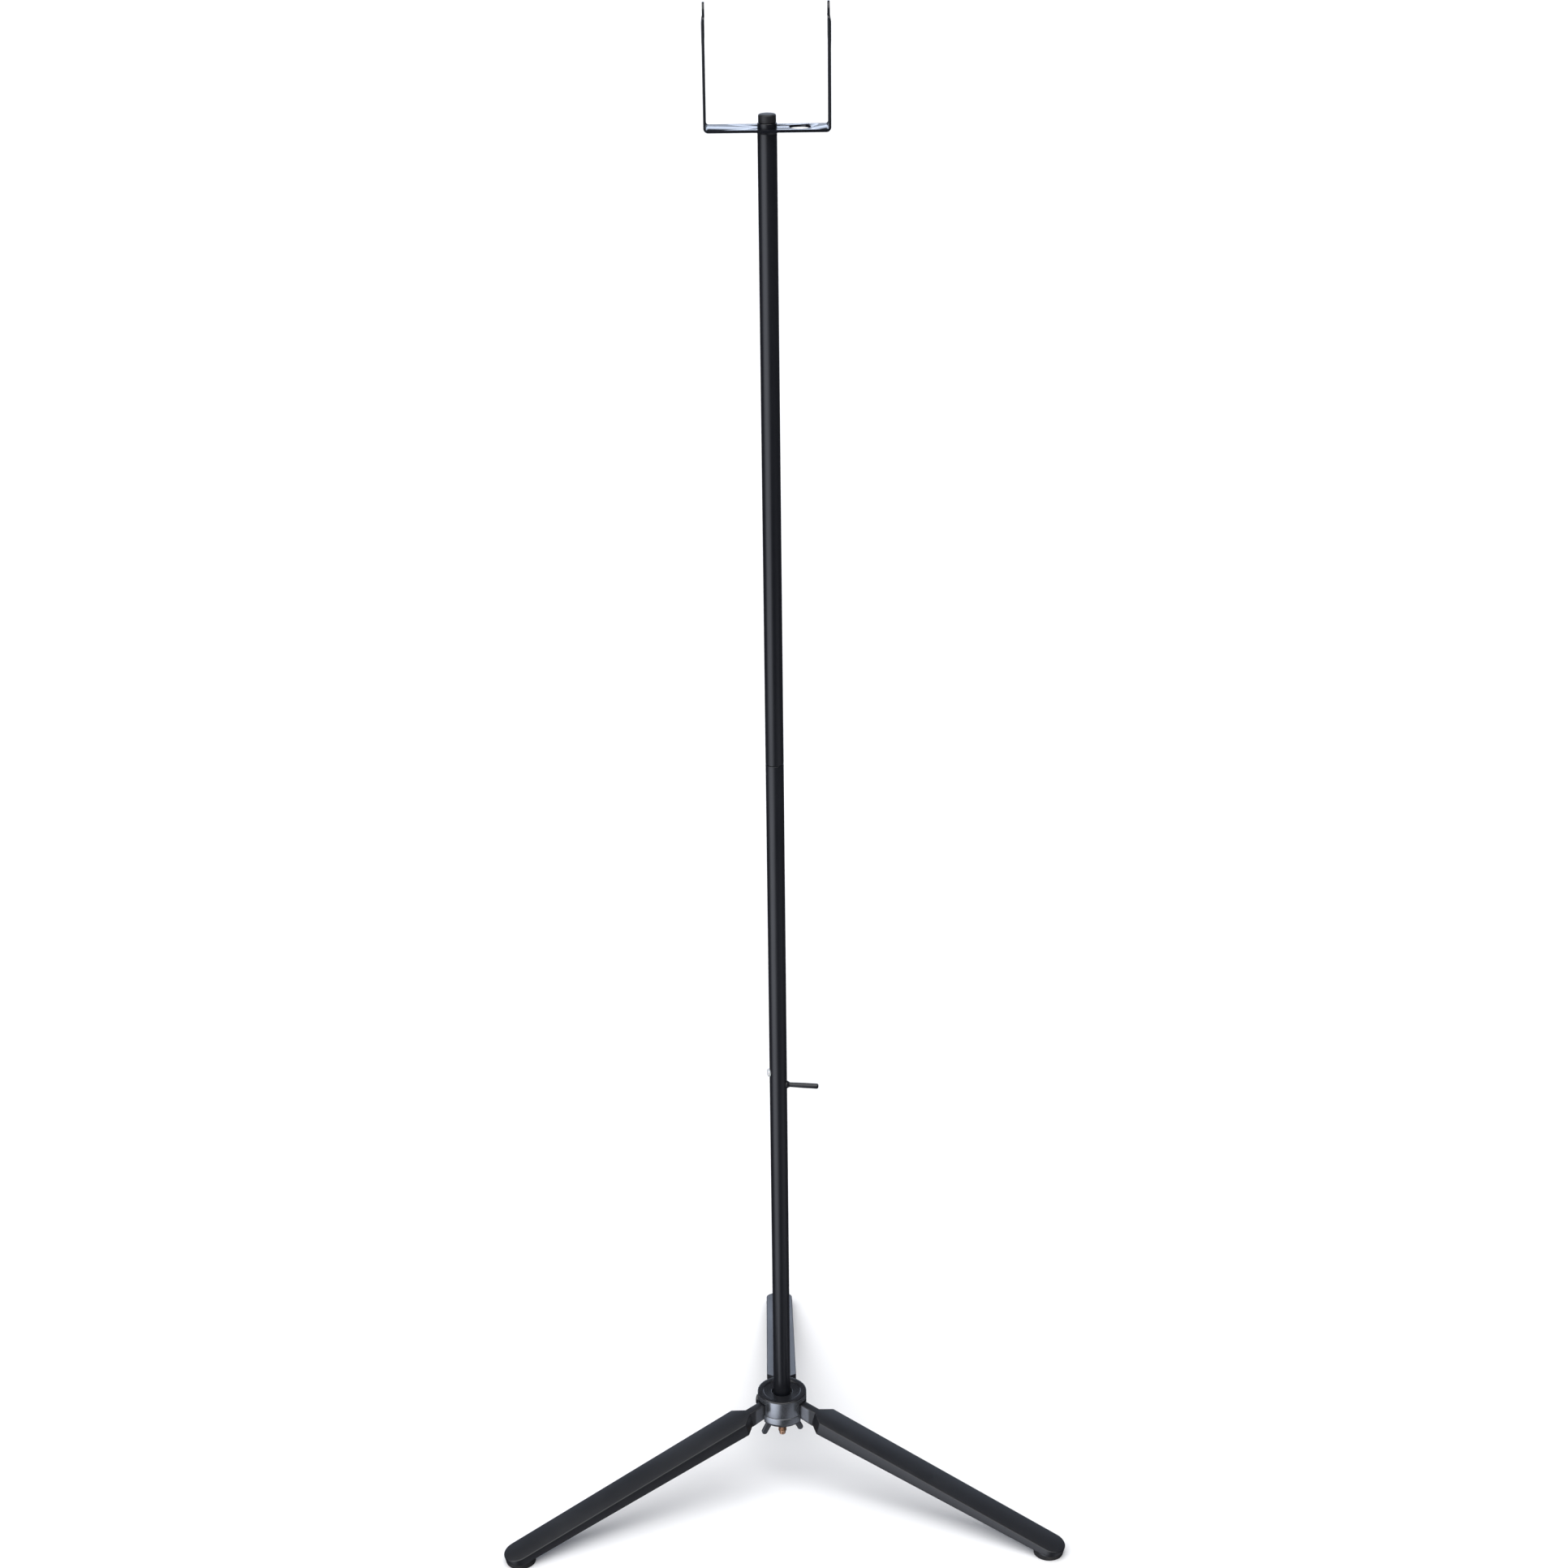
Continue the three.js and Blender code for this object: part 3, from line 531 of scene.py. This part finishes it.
def tube(name, bottom, top):
    edge = 0.45 * MM
    inner = TUBE_RADIUS - TUBE_WALL
    profile = fillet([
        (inner, (bottom + top) / 2),
        (inner, bottom, edge / 2),
        (TUBE_RADIUS, bottom, edge),
        (TUBE_RADIUS, top, edge),
        (inner, top, edge / 2),
        (inner, (bottom + top) / 2),
    ])
    return turned(name, profile)


def threaded_rod(name, radius, bottom, top):
    """An upright rod with a helical thread that fades out at both ends."""
    depth = 0.55 * PITCH
    lead = 0.9 * PITCH
    steps_per_turn = 8
    sides = 40
    form = bmesh.new()
    count = round((top - bottom) / PITCH * steps_per_turn)
    rings = []
    for step in range(count + 1):
        z = bottom + (top - bottom) * step / count
        from_end = min(z - bottom, top - z)
        lead_in = min(1, from_end / lead)
        ring = []
        for side in range(sides):
            phase = (z / PITCH - side / sides) % 1
            crest = min(1, max(0, 2.4 * abs(phase - 0.5) - 0.1))
            r = radius - depth * (1 - crest * lead_in)
            angle = 2 * HALF_TURN * side / sides
            ring.append(form.verts.new((r * math.cos(angle), r * math.sin(angle), z)))
        rings.append(ring)
    for lower, upper in zip(rings, rings[1:]):
        for side in range(sides):
            after = (side + 1) % sides
            form.faces.new((lower[side], lower[after], upper[after], upper[side]))
    form.faces.new(rings[0][::-1])
    form.faces.new(rings[-1])
    form.transform(Matrix.Translation((0, MAST_Y, 0)))
    return to_object(name, form)


def mast_cap():
    low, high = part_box("mast_cap")
    radius = (high.x - low.x) / 2
    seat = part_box("upper_tube")[1].z + GAP
    stem = 6.2 * MM
    rim = high.z - 0.35 * MM
    return turned("cap", fillet([
        (0, low.z),
        (stem, low.z, 0.5 * MM),
        (stem, seat, 0.1 * MM),
        (radius, seat, 0.3 * MM),
        (radius, rim, 1.3 * MM),
        (radius * 0.55, high.z - 0.1 * MM, 6 * MM),
        (0, high.z),
    ], steps=6))


def peg_place():
    heading = Matrix.Rotation(PEG_TURN, 4, "Z")
    height = middle("mast_peg").z
    return Matrix.Translation((0, MAST_Y, height)) @ heading @ Matrix.Rotation(QUARTER_TURN, 4, "Y")


def peg():
    """The peg along its own axis, from inside the tube to its rounded tip."""
    root = 2.2 * MM
    tip = 2.45 * MM
    reach = 37 * MM
    return turned("peg", fillet([
        (0, TUBE_RADIUS - TUBE_WALL),
        (3.6 * MM, TUBE_RADIUS - TUBE_WALL),
        (3.6 * MM, TUBE_RADIUS + 0.3 * MM, 0.3 * MM),
        (root, TUBE_RADIUS + 2.6 * MM, 2.4 * MM),
        (tip, reach * 0.62, 8 * MM),
        (tip, reach, 1.5 * MM),
        (0, reach + 0.02 * MM),
    ], steps=7), SMALL, peg_place())


def rivet():
    height = middle("side_rivet").z
    place = Matrix.Translation((0, MAST_Y, height)) @ Matrix.Rotation(-QUARTER_TURN, 4, "Y")
    head = 3.8 * MM
    seat = TUBE_RADIUS - 1 * MM
    return turned("rivet", fillet([
        (0, seat),
        (head, seat),
        (head, TUBE_RADIUS + 1.6 * MM, 1.2 * MM),
        (head * 0.45, TUBE_RADIUS + 2.45 * MM, 2 * MM),
        (0, TUBE_RADIUS + 2.5 * MM),
    ], steps=6), SMALL, place)


# ---------------------------------------------------------------- fork


def strap_outline():
    """The strap from the side: a plate with an arm at each end, thinned to a tongue at its tip."""
    outer = FORK_HALF
    inner = outer - STRAP
    swell = HEAD_SWELL
    head = ARM_HEAD
    shoulder = TONGUE_SHOULDER
    tongue_outer = outer - 0.6 * MM
    tongue_inner = tongue_outer - 1.8 * MM
    half = fillet([
        (0, FORK_BOTTOM),
        (outer, FORK_BOTTOM, 4 * MM),
        (outer, head - 4 * MM, 10 * MM),
        (outer + swell, head, 10 * MM),
        (outer + swell, shoulder - 1.5 * MM, 0.6 * MM),
        (tongue_outer, shoulder, 0.4 * MM),
        (tongue_outer, FORK_TOP, 0.7 * MM),
        (tongue_inner, FORK_TOP, 0.7 * MM),
        (tongue_inner, shoulder - 0.5 * MM, 0.4 * MM),
        (inner - swell, shoulder - 1.5 * MM, 0.05 * MM),
        (inner - swell, head, 10 * MM),
        (inner, head - 4 * MM, 10 * MM),
        (inner, PLATE_TOP, 2 * MM),
        (0, PLATE_TOP),
    ], steps=8)[1:-1]
    return half + [Vector((-x, z)) for x, z in reversed(half)]


def tongue_trim():
    """What is cut from beside the tongues, so that each ends in a round-topped tab."""
    radius = 7 * MM
    shoulder = TONGUE_SHOULDER
    side = STRAP_DEPTH / 2 + 5 * MM
    over = FORK_TOP + 5 * MM
    tab = arc((0, FORK_TOP - radius), radius, 180, 0, 24)
    outline = [(-side, shoulder), (-radius - 1 * MM, shoulder), (-radius, shoulder + 1 * MM), *tab]
    outline += [(radius, shoulder + 1 * MM), (radius + 1 * MM, shoulder), (side, shoulder)]
    outline += [(side, over), (-side, over)]
    trim = side_prism("cutter", outline, FORK_HALF + 10 * MM)
    trim.data.transform(Matrix.Translation((0, MAST_Y, 0)) @ Matrix.Rotation(QUARTER_TURN, 4, "Z"))
    return trim


def drill(radius, low, high, x=0.0, sides=64):
    """An upright cutter, a given way to the right of the mast."""
    return rod(radius, low, high, Matrix.Translation((x, MAST_Y, 0)), sides)


def fork():
    strap = side_prism("fork", strap_outline(), STRAP_DEPTH / 2)
    strap.data.transform(Matrix.Translation((0, MAST_Y, 0)))
    low = FORK_BOTTOM - 5 * MM
    high = PLATE_TOP + 5 * MM
    cut(strap, tongue_trim(), drill(TUBE_RADIUS + 0.1 * MM, low, high))
    cut(strap, drill(PLATE_HOLE_RADIUS, low, high, PLATE_HOLE_X))
    return round_edges(tidy_faces(strap), 0.2 * MM, segments=2, angle=40)


def fork_bead():
    """The run of weld that holds the tube under the plate."""
    low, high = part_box("fork_bead")
    outer = (high.x - low.x) / 2
    return turned("weld_bead", fillet([
        (TUBE_RADIUS - 0.2 * MM, high.z + 0.4 * MM),
        (TUBE_RADIUS - 0.2 * MM, low.z),
        (TUBE_RADIUS + 0.2 * MM, low.z, 0.1 * MM),
        (TUBE_RADIUS + 0.9 * MM, low.z + 1.6 * MM, 1.5 * MM),
        (outer, high.z - 0.2 * MM, 0.5 * MM),
        (outer, high.z + 0.4 * MM),
        (TUBE_RADIUS - 0.2 * MM, high.z + 0.4 * MM),
    ], steps=5))


# ---------------------------------------------------------------- hub


def around_legs(make):
    """One cutter for each leg, turned to its azimuth about the mast."""
    cutters = []
    for azimuth in LEG_AZIMUTHS.values():
        cutter = make()
        turn = Matrix.Rotation(math.radians(azimuth), 4, "Z")
        cutter.data.transform(Matrix.Translation((0, MAST_Y, 0)) @ turn)
        cutters.append(cutter)
    return cutters


def leg_slot(half, low, high):
    return block((SLOT_INNER, -half, low), (HUB_RADIUS + 5 * MM, half, high))


def pin_groove():
    radius = PIN_RADIUS + GAP
    half = 10.8 * MM
    low = PIVOT_Z - 10 * MM
    outline = [(PIVOT_RADIUS + radius, low), *arc((PIVOT_RADIUS, PIVOT_Z), radius, 0, 180, 12)]
    outline.append((PIVOT_RADIUS - radius, low))
    return side_prism("cutter", outline, half)


def hub_body():
    bottom = HUB_LOW.z
    top = HUB_HIGH.z
    dish = top - 0.8 * MM
    rim = 17.9 * MM
    rim_foot = 17.4 * MM
    collar_foot = 9.9 * MM
    collar = 9.4 * MM
    socket = TUBE_RADIUS + 0.15 * MM
    shelf = bottom + 1.7 * MM  # that the mast stands on
    blank = turned("hub", fillet([
        (BOLT_HOLE, bottom + 1 * MM),
        (BOLT_HOLE, bottom),
        (HUB_RADIUS, bottom, 0.5 * MM),
        (HUB_RADIUS, top, 1.1 * MM),
        (rim, top, 0.5 * MM),
        (rim_foot, dish, 0.4 * MM),
        (collar_foot, dish, 0.9 * MM),
        (collar, 83.2 * MM, 0.8 * MM),
        (socket, 82.6 * MM, 0.3 * MM),
        (socket, shelf),
        (BOLT_HOLE, shelf),
        (BOLT_HOLE, bottom + 1 * MM),
    ], steps=5))
    cut(blank, *around_legs(lambda: leg_slot(HUB_SLOT_HALF, bottom - 5 * MM, SLOT_CEILING)))
    cut(blank, *around_legs(pin_groove))
    return cut(blank, rod(SCREW_RECESS_RADIUS, SCREW_RECESS, 30 * MM, screw_place()))


def clamp_ring():
    bottom = RING_LOW.z
    top = RING_HIGH.z
    blank = turned("clamp", fillet([
        (BOLT_HOLE, (bottom + top) / 2),
        (BOLT_HOLE, bottom, 0.3 * MM),
        (HUB_RADIUS - 3.2 * MM, bottom, 1.5 * MM),
        (HUB_RADIUS, bottom + 3.6 * MM, 2.5 * MM),
        (HUB_RADIUS, top, 0.5 * MM),
        (BOLT_HOLE, top, 0.2 * MM),
        (BOLT_HOLE, (bottom + top) / 2),
    ], steps=6))
    return cut(blank, *around_legs(lambda: leg_slot(RING_SLOT_HALF, bottom - 5 * MM, top + 5 * MM)))


def screw_heading():
    """Where the set screw points: its length along X, from the mast's axis."""
    return Matrix.Translation((0, MAST_Y, SCREW_Z)) @ Matrix.Rotation(SCREW_AZIMUTH, 4, "Z")


def screw_place():
    """The same for turned pieces, whose length is along Z."""
    return screw_heading() @ Matrix.Rotation(QUARTER_TURN, 4, "Y")


def set_screw():
    point = 12 * MM
    seat = 22.7 * MM
    crown = 25.1 * MM
    shank_radius = 1.7 * MM
    head_radius = 4.6 * MM
    screw = turned("screw", fillet([
        (0, point),
        (shank_radius, point),
        (shank_radius, seat),
        (head_radius, seat, 0.2 * MM),
        (head_radius, crown, 0.7 * MM),
        (0, crown),
    ]), SMALL, screw_place())
    slot = block((24.1 * MM, -0.6 * MM, -8 * MM), (30 * MM, 0.6 * MM, 8 * MM))
    slot.data.transform(screw_heading())
    return cut(screw, slot)


def bolt_point():
    """The plain reduced end of the hub bolt."""
    bottom = BOLT_LOW.z
    radius = 3 * MM
    inside = bottom + 3.4 * MM  # just inside the threaded part
    return turned("bolt_point", fillet([
        (0, bottom),
        (radius, bottom, 0.5 * MM),
        (radius, inside),
        (0, inside),
    ]), SMALL)


def washer():
    low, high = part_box("bolt_washer")
    outer = (high.x - low.x) / 2
    return turned("washer", fillet([
        (BOLT_HOLE, middle("bolt_washer").z),
        (BOLT_HOLE, low.z, 0.1 * MM),
        (outer, low.z, 0.25 * MM),
        (outer, high.z, 0.15 * MM),
        (BOLT_HOLE, high.z, 0.1 * MM),
        (BOLT_HOLE, middle("bolt_washer").z),
    ]))


def wing(nut_top):
    """One wing: a short web out from the nut, and a rounded ear that hangs from its end."""
    root = 5.6 * MM
    elbow = Vector((12.5 * MM, nut_top - 2.9 * MM))
    tip = Vector((17.5 * MM, nut_top - 14 * MM))
    elbow_round = 2.4 * MM
    tip_round = 2.8 * MM
    along = math.degrees(math.atan2(tip.y - elbow.y, tip.x - elbow.x))
    under = elbow.y - elbow_round
    inner = arc(elbow, elbow_round, along - 90, along - 90, 1)[0]
    outline = [Vector((root, elbow.y + elbow_round)), *arc(elbow, elbow_round, 90, along + 90, 8)]
    outline += arc(tip, tip_round, along + 90, along - 90, 16)
    outline += [Vector((inner.x, under - 0.8 * MM)), Vector((inner.x - 1 * MM, under))]
    outline.append(Vector((root, under)))
    return round_edges(side_prism("wing", outline, 1.6 * MM), 0.7 * MM, angle=40)


def wing_nut():
    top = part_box("wing_nut")[1].z
    bottom = top - 8.6 * MM
    half_way = top - 4 * MM
    body = 7 * MM
    flange = 9 * MM
    nut = turned("nut", fillet([
        (BOLT_HOLE, half_way),
        (BOLT_HOLE, bottom, 0.4 * MM),
        (6.6 * MM, bottom, 1.1 * MM),
        (body, top - 2.4 * MM, 0.8 * MM),
        (flange, top - 2 * MM, 0.4 * MM),
        (flange, top, 0.4 * MM),
        (BOLT_HOLE, top, 0.2 * MM),
        (BOLT_HOLE, half_way),
    ]), 72, Matrix.Identity(4))
    left = wing(top)
    left.data.transform(Matrix.Rotation(HALF_TURN, 4, "Z"))
    join(nut, wing(top), left)
    cut(nut, rod(BOLT_HOLE, 0, 100 * MM, Matrix.Identity(4)))
    turn = Matrix.Rotation(WING_HEADING, 4, "Z")
    nut.data.transform(Matrix.Translation((0, MAST_Y, 0)) @ turn)
    return nut


# ---------------------------------------------------------------- legs


TO_HINGE = Matrix.Translation((PIVOT_RADIUS, 0, PIVOT_Z)) @ Matrix.Rotation(math.radians(LEG_SLOPE), 4, "Y")


def half_width(x, inset=0.0):
    """Half the leg's width at a place along it, drawn in by an inset."""
    share = (x - SHOULDER_END) / (FOOT_PLACE - SHOULDER_END)
    return ROOT_HALF + (TIP_HALF - ROOT_HALF) * share - inset


def leg_bar():
    """The broad bar from its shoulders to its round end, thinner towards the foot."""
    plan = [(NECK_END, -NECK_HALF), (SHOULDER_END, -ROOT_HALF)]
    plan += arc((FOOT_PLACE, 0), TIP_HALF, -90, 90, 32)
    plan += [(SHOULDER_END, ROOT_HALF), (NECK_END, NECK_HALF)]
    solid = prism("leg", plan, WELL_BELOW, LEG_TOP)
    root = LEG_TOP - ROOT_THICKNESS
    tip = LEG_TOP - TIP_THICKNESS
    under = [(NECK_END - 5 * MM, -40 * MM), (FOOT_PLACE + 30 * MM, -40 * MM), (FOOT_PLACE + 30 * MM, tip)]
    under += [(FOOT_PLACE, tip), (SHOULDER_END, root), (NECK_END - 5 * MM, root - 0.5 * MM)]
    return round_edges(tidy_faces(cut(solid, side_prism("cutter", under, 30 * MM))), 0.9 * MM, segments=4)


def leg_neck():
    """The narrow neck with its round heel about the hinge pin, its top a hair below the bar's."""
    root = LEG_TOP - ROOT_THICKNESS
    top = LEG_TOP - 0.03 * MM
    heel = arc((0, 0), HEEL_RADIUS, 180, 270, 12)
    inside = SHOULDER_END + 2 * MM
    outline = [*heel, (NECK_END, -NECK_UNDER), (SHOULDER_END, root), (inside, root + 0.5 * MM)]
    outline += [(inside, top), (-1 * MM, top), (-3.6 * MM, 8.1 * MM), (-5.3 * MM, 5.4 * MM)]
    return round_edges(side_prism("neck", outline, NECK_HALF), 0.6 * MM)


def foot_boss(radius, top):
    return rod(radius, WELL_BELOW, top, Matrix.Translation((FOOT_PLACE, 0, 0)), 72)


def leg_hollows():
    """The hollows between the ribs under the bar."""
    first = SHOULDER_END + 6 * MM
    last = FOOT_PLACE - FOOT_RADIUS - 1 * MM
    starts = [first, *(place + RIB_HALF for place in RIB_PLACES)]
    ends = [*(place - RIB_HALF for place in RIB_PLACES), last]
    hollows = []
    for start, end in zip(starts, ends):
        near = half_width(start, LEG_WALL)
        far = half_width(end, LEG_WALL)
        outline = [(start, -near), (end, -far), (end, far), (start, near)]
        hollow = prism("cutter", outline, WELL_BELOW, LEG_TOP - LEG_SKIN)
        hollows.append(round_edges(hollow, 1 * MM))
    return hollows


def floor_block(low, high):
    """A block round the foot, level with the floor, between two heights."""
    return block((200 * MM, -40 * MM, low), (350 * MM, 40 * MM, high))


def to_azimuth(piece, side):
    turn = Matrix.Rotation(math.radians(LEG_AZIMUTHS[side]), 4, "Z")
    piece.data.transform(Matrix.Translation((0, MAST_Y, 0)) @ turn)
    return piece


def leg(side):
    piece = leg_bar()
    piece.name = f"cast_leg_{side}"
    join(piece, leg_neck(), foot_boss(FOOT_RADIUS, LEG_TOP - TIP_THICKNESS + 2 * MM))
    piece.data.transform(TO_HINGE)
    cut(piece, floor_block(-60 * MM, PAD_THICKNESS))
    hollows = leg_hollows()
    for hollow in hollows:
        hollow.data.transform(TO_HINGE)
    cut(piece, *hollows)
    across = TO_HINGE @ Matrix.Rotation(QUARTER_TURN, 4, "X")
    cut(piece, rod(PIN_RADIUS + GAP, -20 * MM, 20 * MM, across))
    return to_azimuth(piece, side)


def foot_pad(side):
    """The rubber pad under a foot, with two rings moulded in its sole."""
    piece = foot_boss(FOOT_RADIUS - 0.2 * MM, 7 * MM)
    piece.name = f"rubber_foot_{side}"
    piece.data.transform(TO_HINGE)
    cut(piece, floor_block(-60 * MM, 0), floor_block(PAD_THICKNESS - 0.1 * MM, 60 * MM))
    round_edges(tidy_faces(piece), 0.7 * MM, angle=30)
    centre = middle(f"foot_pad_{side}")
    reach = math.hypot(centre.x, centre.y - MAST_Y)
    for radius in (4 * MM, 8 * MM):
        wide = radius + 1 * MM
        low = -1 * MM
        high = 0.6 * MM
        groove = [(radius, low), (wide, low), (wide, high), (radius, high), (radius, low)]
        cut(piece, turned("cutter", groove, SMALL, Matrix.Translation((reach, 0, 0))))
    return to_azimuth(piece, side)


# ---------------------------------------------------------------- the stand


def dress_stand():
    coat = coated_steel("tube_coat", smoothest=0.27, dullest=0.33, rubbed=0.08)
    strap_coat = coated_steel("strap_coat", smoothest=0.13, dullest=0.16, rubbed=0.015)
    enamel = cast_enamel()
    graphite = graphite_coat()
    plastic = black_plastic()
    rubber = pad_rubber()
    zinc = zinc_steel()
    brass = coppery_brass()
    nylon = pale_nylon()

    lower_low, lower_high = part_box("lower_tube")
    upper_low, upper_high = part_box("upper_tube")
    show(tube("lower_pole", lower_low.z, lower_high.z), coat, "coated_steel", "hub", "lower_tube")
    show(tube("upper_pole", upper_low.z, upper_high.z), coat, "coated_steel", "upper_mast", "upper_tube")
    show(mast_cap(), plastic, "black_plastic", "upper_mast", "mast_cap")
    show(fork(), strap_coat, "coated_steel", "upper_mast", "fork_bracket")
    show(fork_bead(), coat, "coated_steel", "upper_mast", "fork_bead")
    show(peg(), coat, "coated_steel", "hub", "mast_peg")
    show(rivet(), nylon, "pale_nylon", "hub", "side_rivet")

    stud_low, stud_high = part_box("joint_stud")
    stud_radius = (stud_high.x - stud_low.x) / 2
    stud = threaded_rod("stud", stud_radius, stud_low.z, stud_high.z)
    show(stud, zinc, "zinc_steel", "joint_stud", "joint_stud")

    show(hub_body(), graphite, "cast_black", "hub", "hub_body")
    show(clamp_ring(), graphite, "cast_black", "clamp_ring", "clamp_ring")
    show(set_screw(), coat, "coated_steel", "hub", "set_screw")
    bolt = threaded_rod("bolt", BOLT_RADIUS, BOLT_LOW.z + BOLT_POINT, BOLT_HIGH.z)
    show(join(bolt, bolt_point()), brass, "coppery_brass", "hub", "hub_bolt")
    show(washer(), zinc, "zinc_steel", "clamp_ring", "bolt_washer")
    show(wing_nut(), enamel, "cast_black", "wing_nut", "wing_nut")

    for side in LEG_AZIMUTHS:
        show(leg(side), enamel, "cast_black", f"leg_{side}", f"leg_{side}")
        show(foot_pad(side), rubber, "rubber", f"leg_{side}", f"foot_pad_{side}")
        dress_node(f"hinge_pin_{side}", zinc)
    for node in ("mast_base_insert", "lower_joint_insert", "upper_joint_insert"):
        dress_node(node, zinc)


def dress_node(name, material):
    """A hidden CAD piece keeps its shape and takes a finished material."""
    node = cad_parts[name]
    node.data.materials.clear()
    node.data.materials.append(material)
    smooth(node)


# ---------------------------------------------------------------- studio


def add_floor():
    """Pale paper that lights the stand but stays out of its gloss."""
    far = 300  # metres, so that its edge doesn't show
    floor = prism("floor", [(-far, -far), (far, -far), (far, far), (-far, far)], -20 * MM, 0)
    floor.data.materials.append(floor_material())
    floor.visible_glossy = False


class Surroundings:
    """What the stand's gloss mirrors: a dim room with soft pale panels, each fading out from its middle."""

    def __init__(self, dim):
        self.world = bpy.data.worlds.new("studio")
        self.world.use_nodes = True
        self.nodes = self.world.node_tree.nodes
        self.links = self.world.node_tree.links
        self.direction = self.nodes.new("ShaderNodeTexCoord").outputs["Generated"]
        self.light = self.nodes.new("ShaderNodeRGB").outputs[0]
        self.light.default_value = (*dim, 1)

    def toward(self, azimuth, elevation):
        """How nearly the direction looked in agrees with a given one: 1 when it does."""
        step = self.nodes.new("ShaderNodeVectorMath")
        step.operation = "DOT_PRODUCT"
        heading = math.radians(azimuth)
        rise = math.radians(elevation)
        step.inputs[1].default_value = (
            math.cos(rise) * math.cos(heading),
            math.cos(rise) * math.sin(heading),
            math.sin(rise),
        )
        self.links.new(self.direction, step.inputs[0])
        return step.outputs["Value"]

    def fade(self, value, dark, bright):
        """A soft step from zero at one value to one at another."""
        step = self.nodes.new("ShaderNodeMapRange")
        step.interpolation_type = "SMOOTHSTEP"
        step.inputs["From Min"].default_value = dark
        step.inputs["From Max"].default_value = bright
        self.links.new(value, step.inputs["Value"])
        return step.outputs["Result"]

    def add(self, amount, colour):
        step = self.nodes.new("ShaderNodeMix")
        step.data_type = "RGBA"
        self.links.new(amount, step.inputs["Factor"])
        self.links.new(self.light, step.inputs[6])
        step.inputs[7].default_value = (*colour, 1)
        self.light = step.outputs[2]

    def panel(self, azimuth, elevation, core, edge, colour):
        """A round pale panel, full to a core angle and gone at its edge angle."""
        nearness = self.toward(azimuth, elevation)
        self.add(self.fade(nearness, math.cos(math.radians(edge)), math.cos(math.radians(core))), colour)

    def backdrop(self, azimuth, low, high, colour):
        """A pale band behind the stand, between two elevations."""
        rise = self.nodes.new("ShaderNodeSeparateXYZ")
        self.links.new(self.direction, rise.inputs[0])
        height = rise.outputs["Z"]
        sine = [math.sin(math.radians(angle)) for angle in (low - 2, low, high, high + 4)]
        above = self.fade(height, sine[0], sine[1])
        below = self.fade(height, sine[3], sine[2])
        nearness = self.toward(azimuth, (low + high) / 2)
        across = self.fade(nearness, math.cos(math.radians(50)), math.cos(math.radians(30)))
        self.add(self.product(self.product(above, below), across), colour)

    def product(self, first, second):
        step = self.nodes.new("ShaderNodeMath")
        step.operation = "MULTIPLY"
        self.links.new(first, step.inputs[0])
        self.links.new(second, step.inputs[1])
        return step.outputs["Value"]

    def hang(self):
        self.links.new(self.light, self.nodes["Background"].inputs["Color"])
        bpy.context.scene.world = self.world


def add_surroundings():
    room = Surroundings((0.07, 0.073, 0.086))
    room.panel(azimuth=330, elevation=-48, core=10, edge=34, colour=(0.42, 0.435, 0.49))
    room.panel(azimuth=224, elevation=-14, core=6, edge=44, colour=(2.1, 2.18, 2.4))
    room.backdrop(azimuth=90, low=3, high=19, colour=(1.9, 2.15, 2.65))
    room.hang()


def add_overhead(strength, azimuth, elevation, spread):
    """One broad soft light from above, even over the whole floor."""
    data = bpy.data.lights.new("overhead", "SUN")
    data.energy = strength
    data.angle = math.radians(spread)
    lamp = bpy.data.objects.new("overhead", data)
    heading = math.radians(azimuth)
    rise = math.radians(elevation)
    lamp.rotation_euler = (0, QUARTER_TURN - rise, heading)
    bpy.context.scene.collection.objects.link(lamp)


def add_studio():
    bpy.context.scene.view_settings.view_transform = "Standard"
    add_floor()
    add_surroundings()
    add_overhead(strength=3.9, azimuth=245, elevation=66, spread=90)


add_camera()
dress_stand()
add_studio()
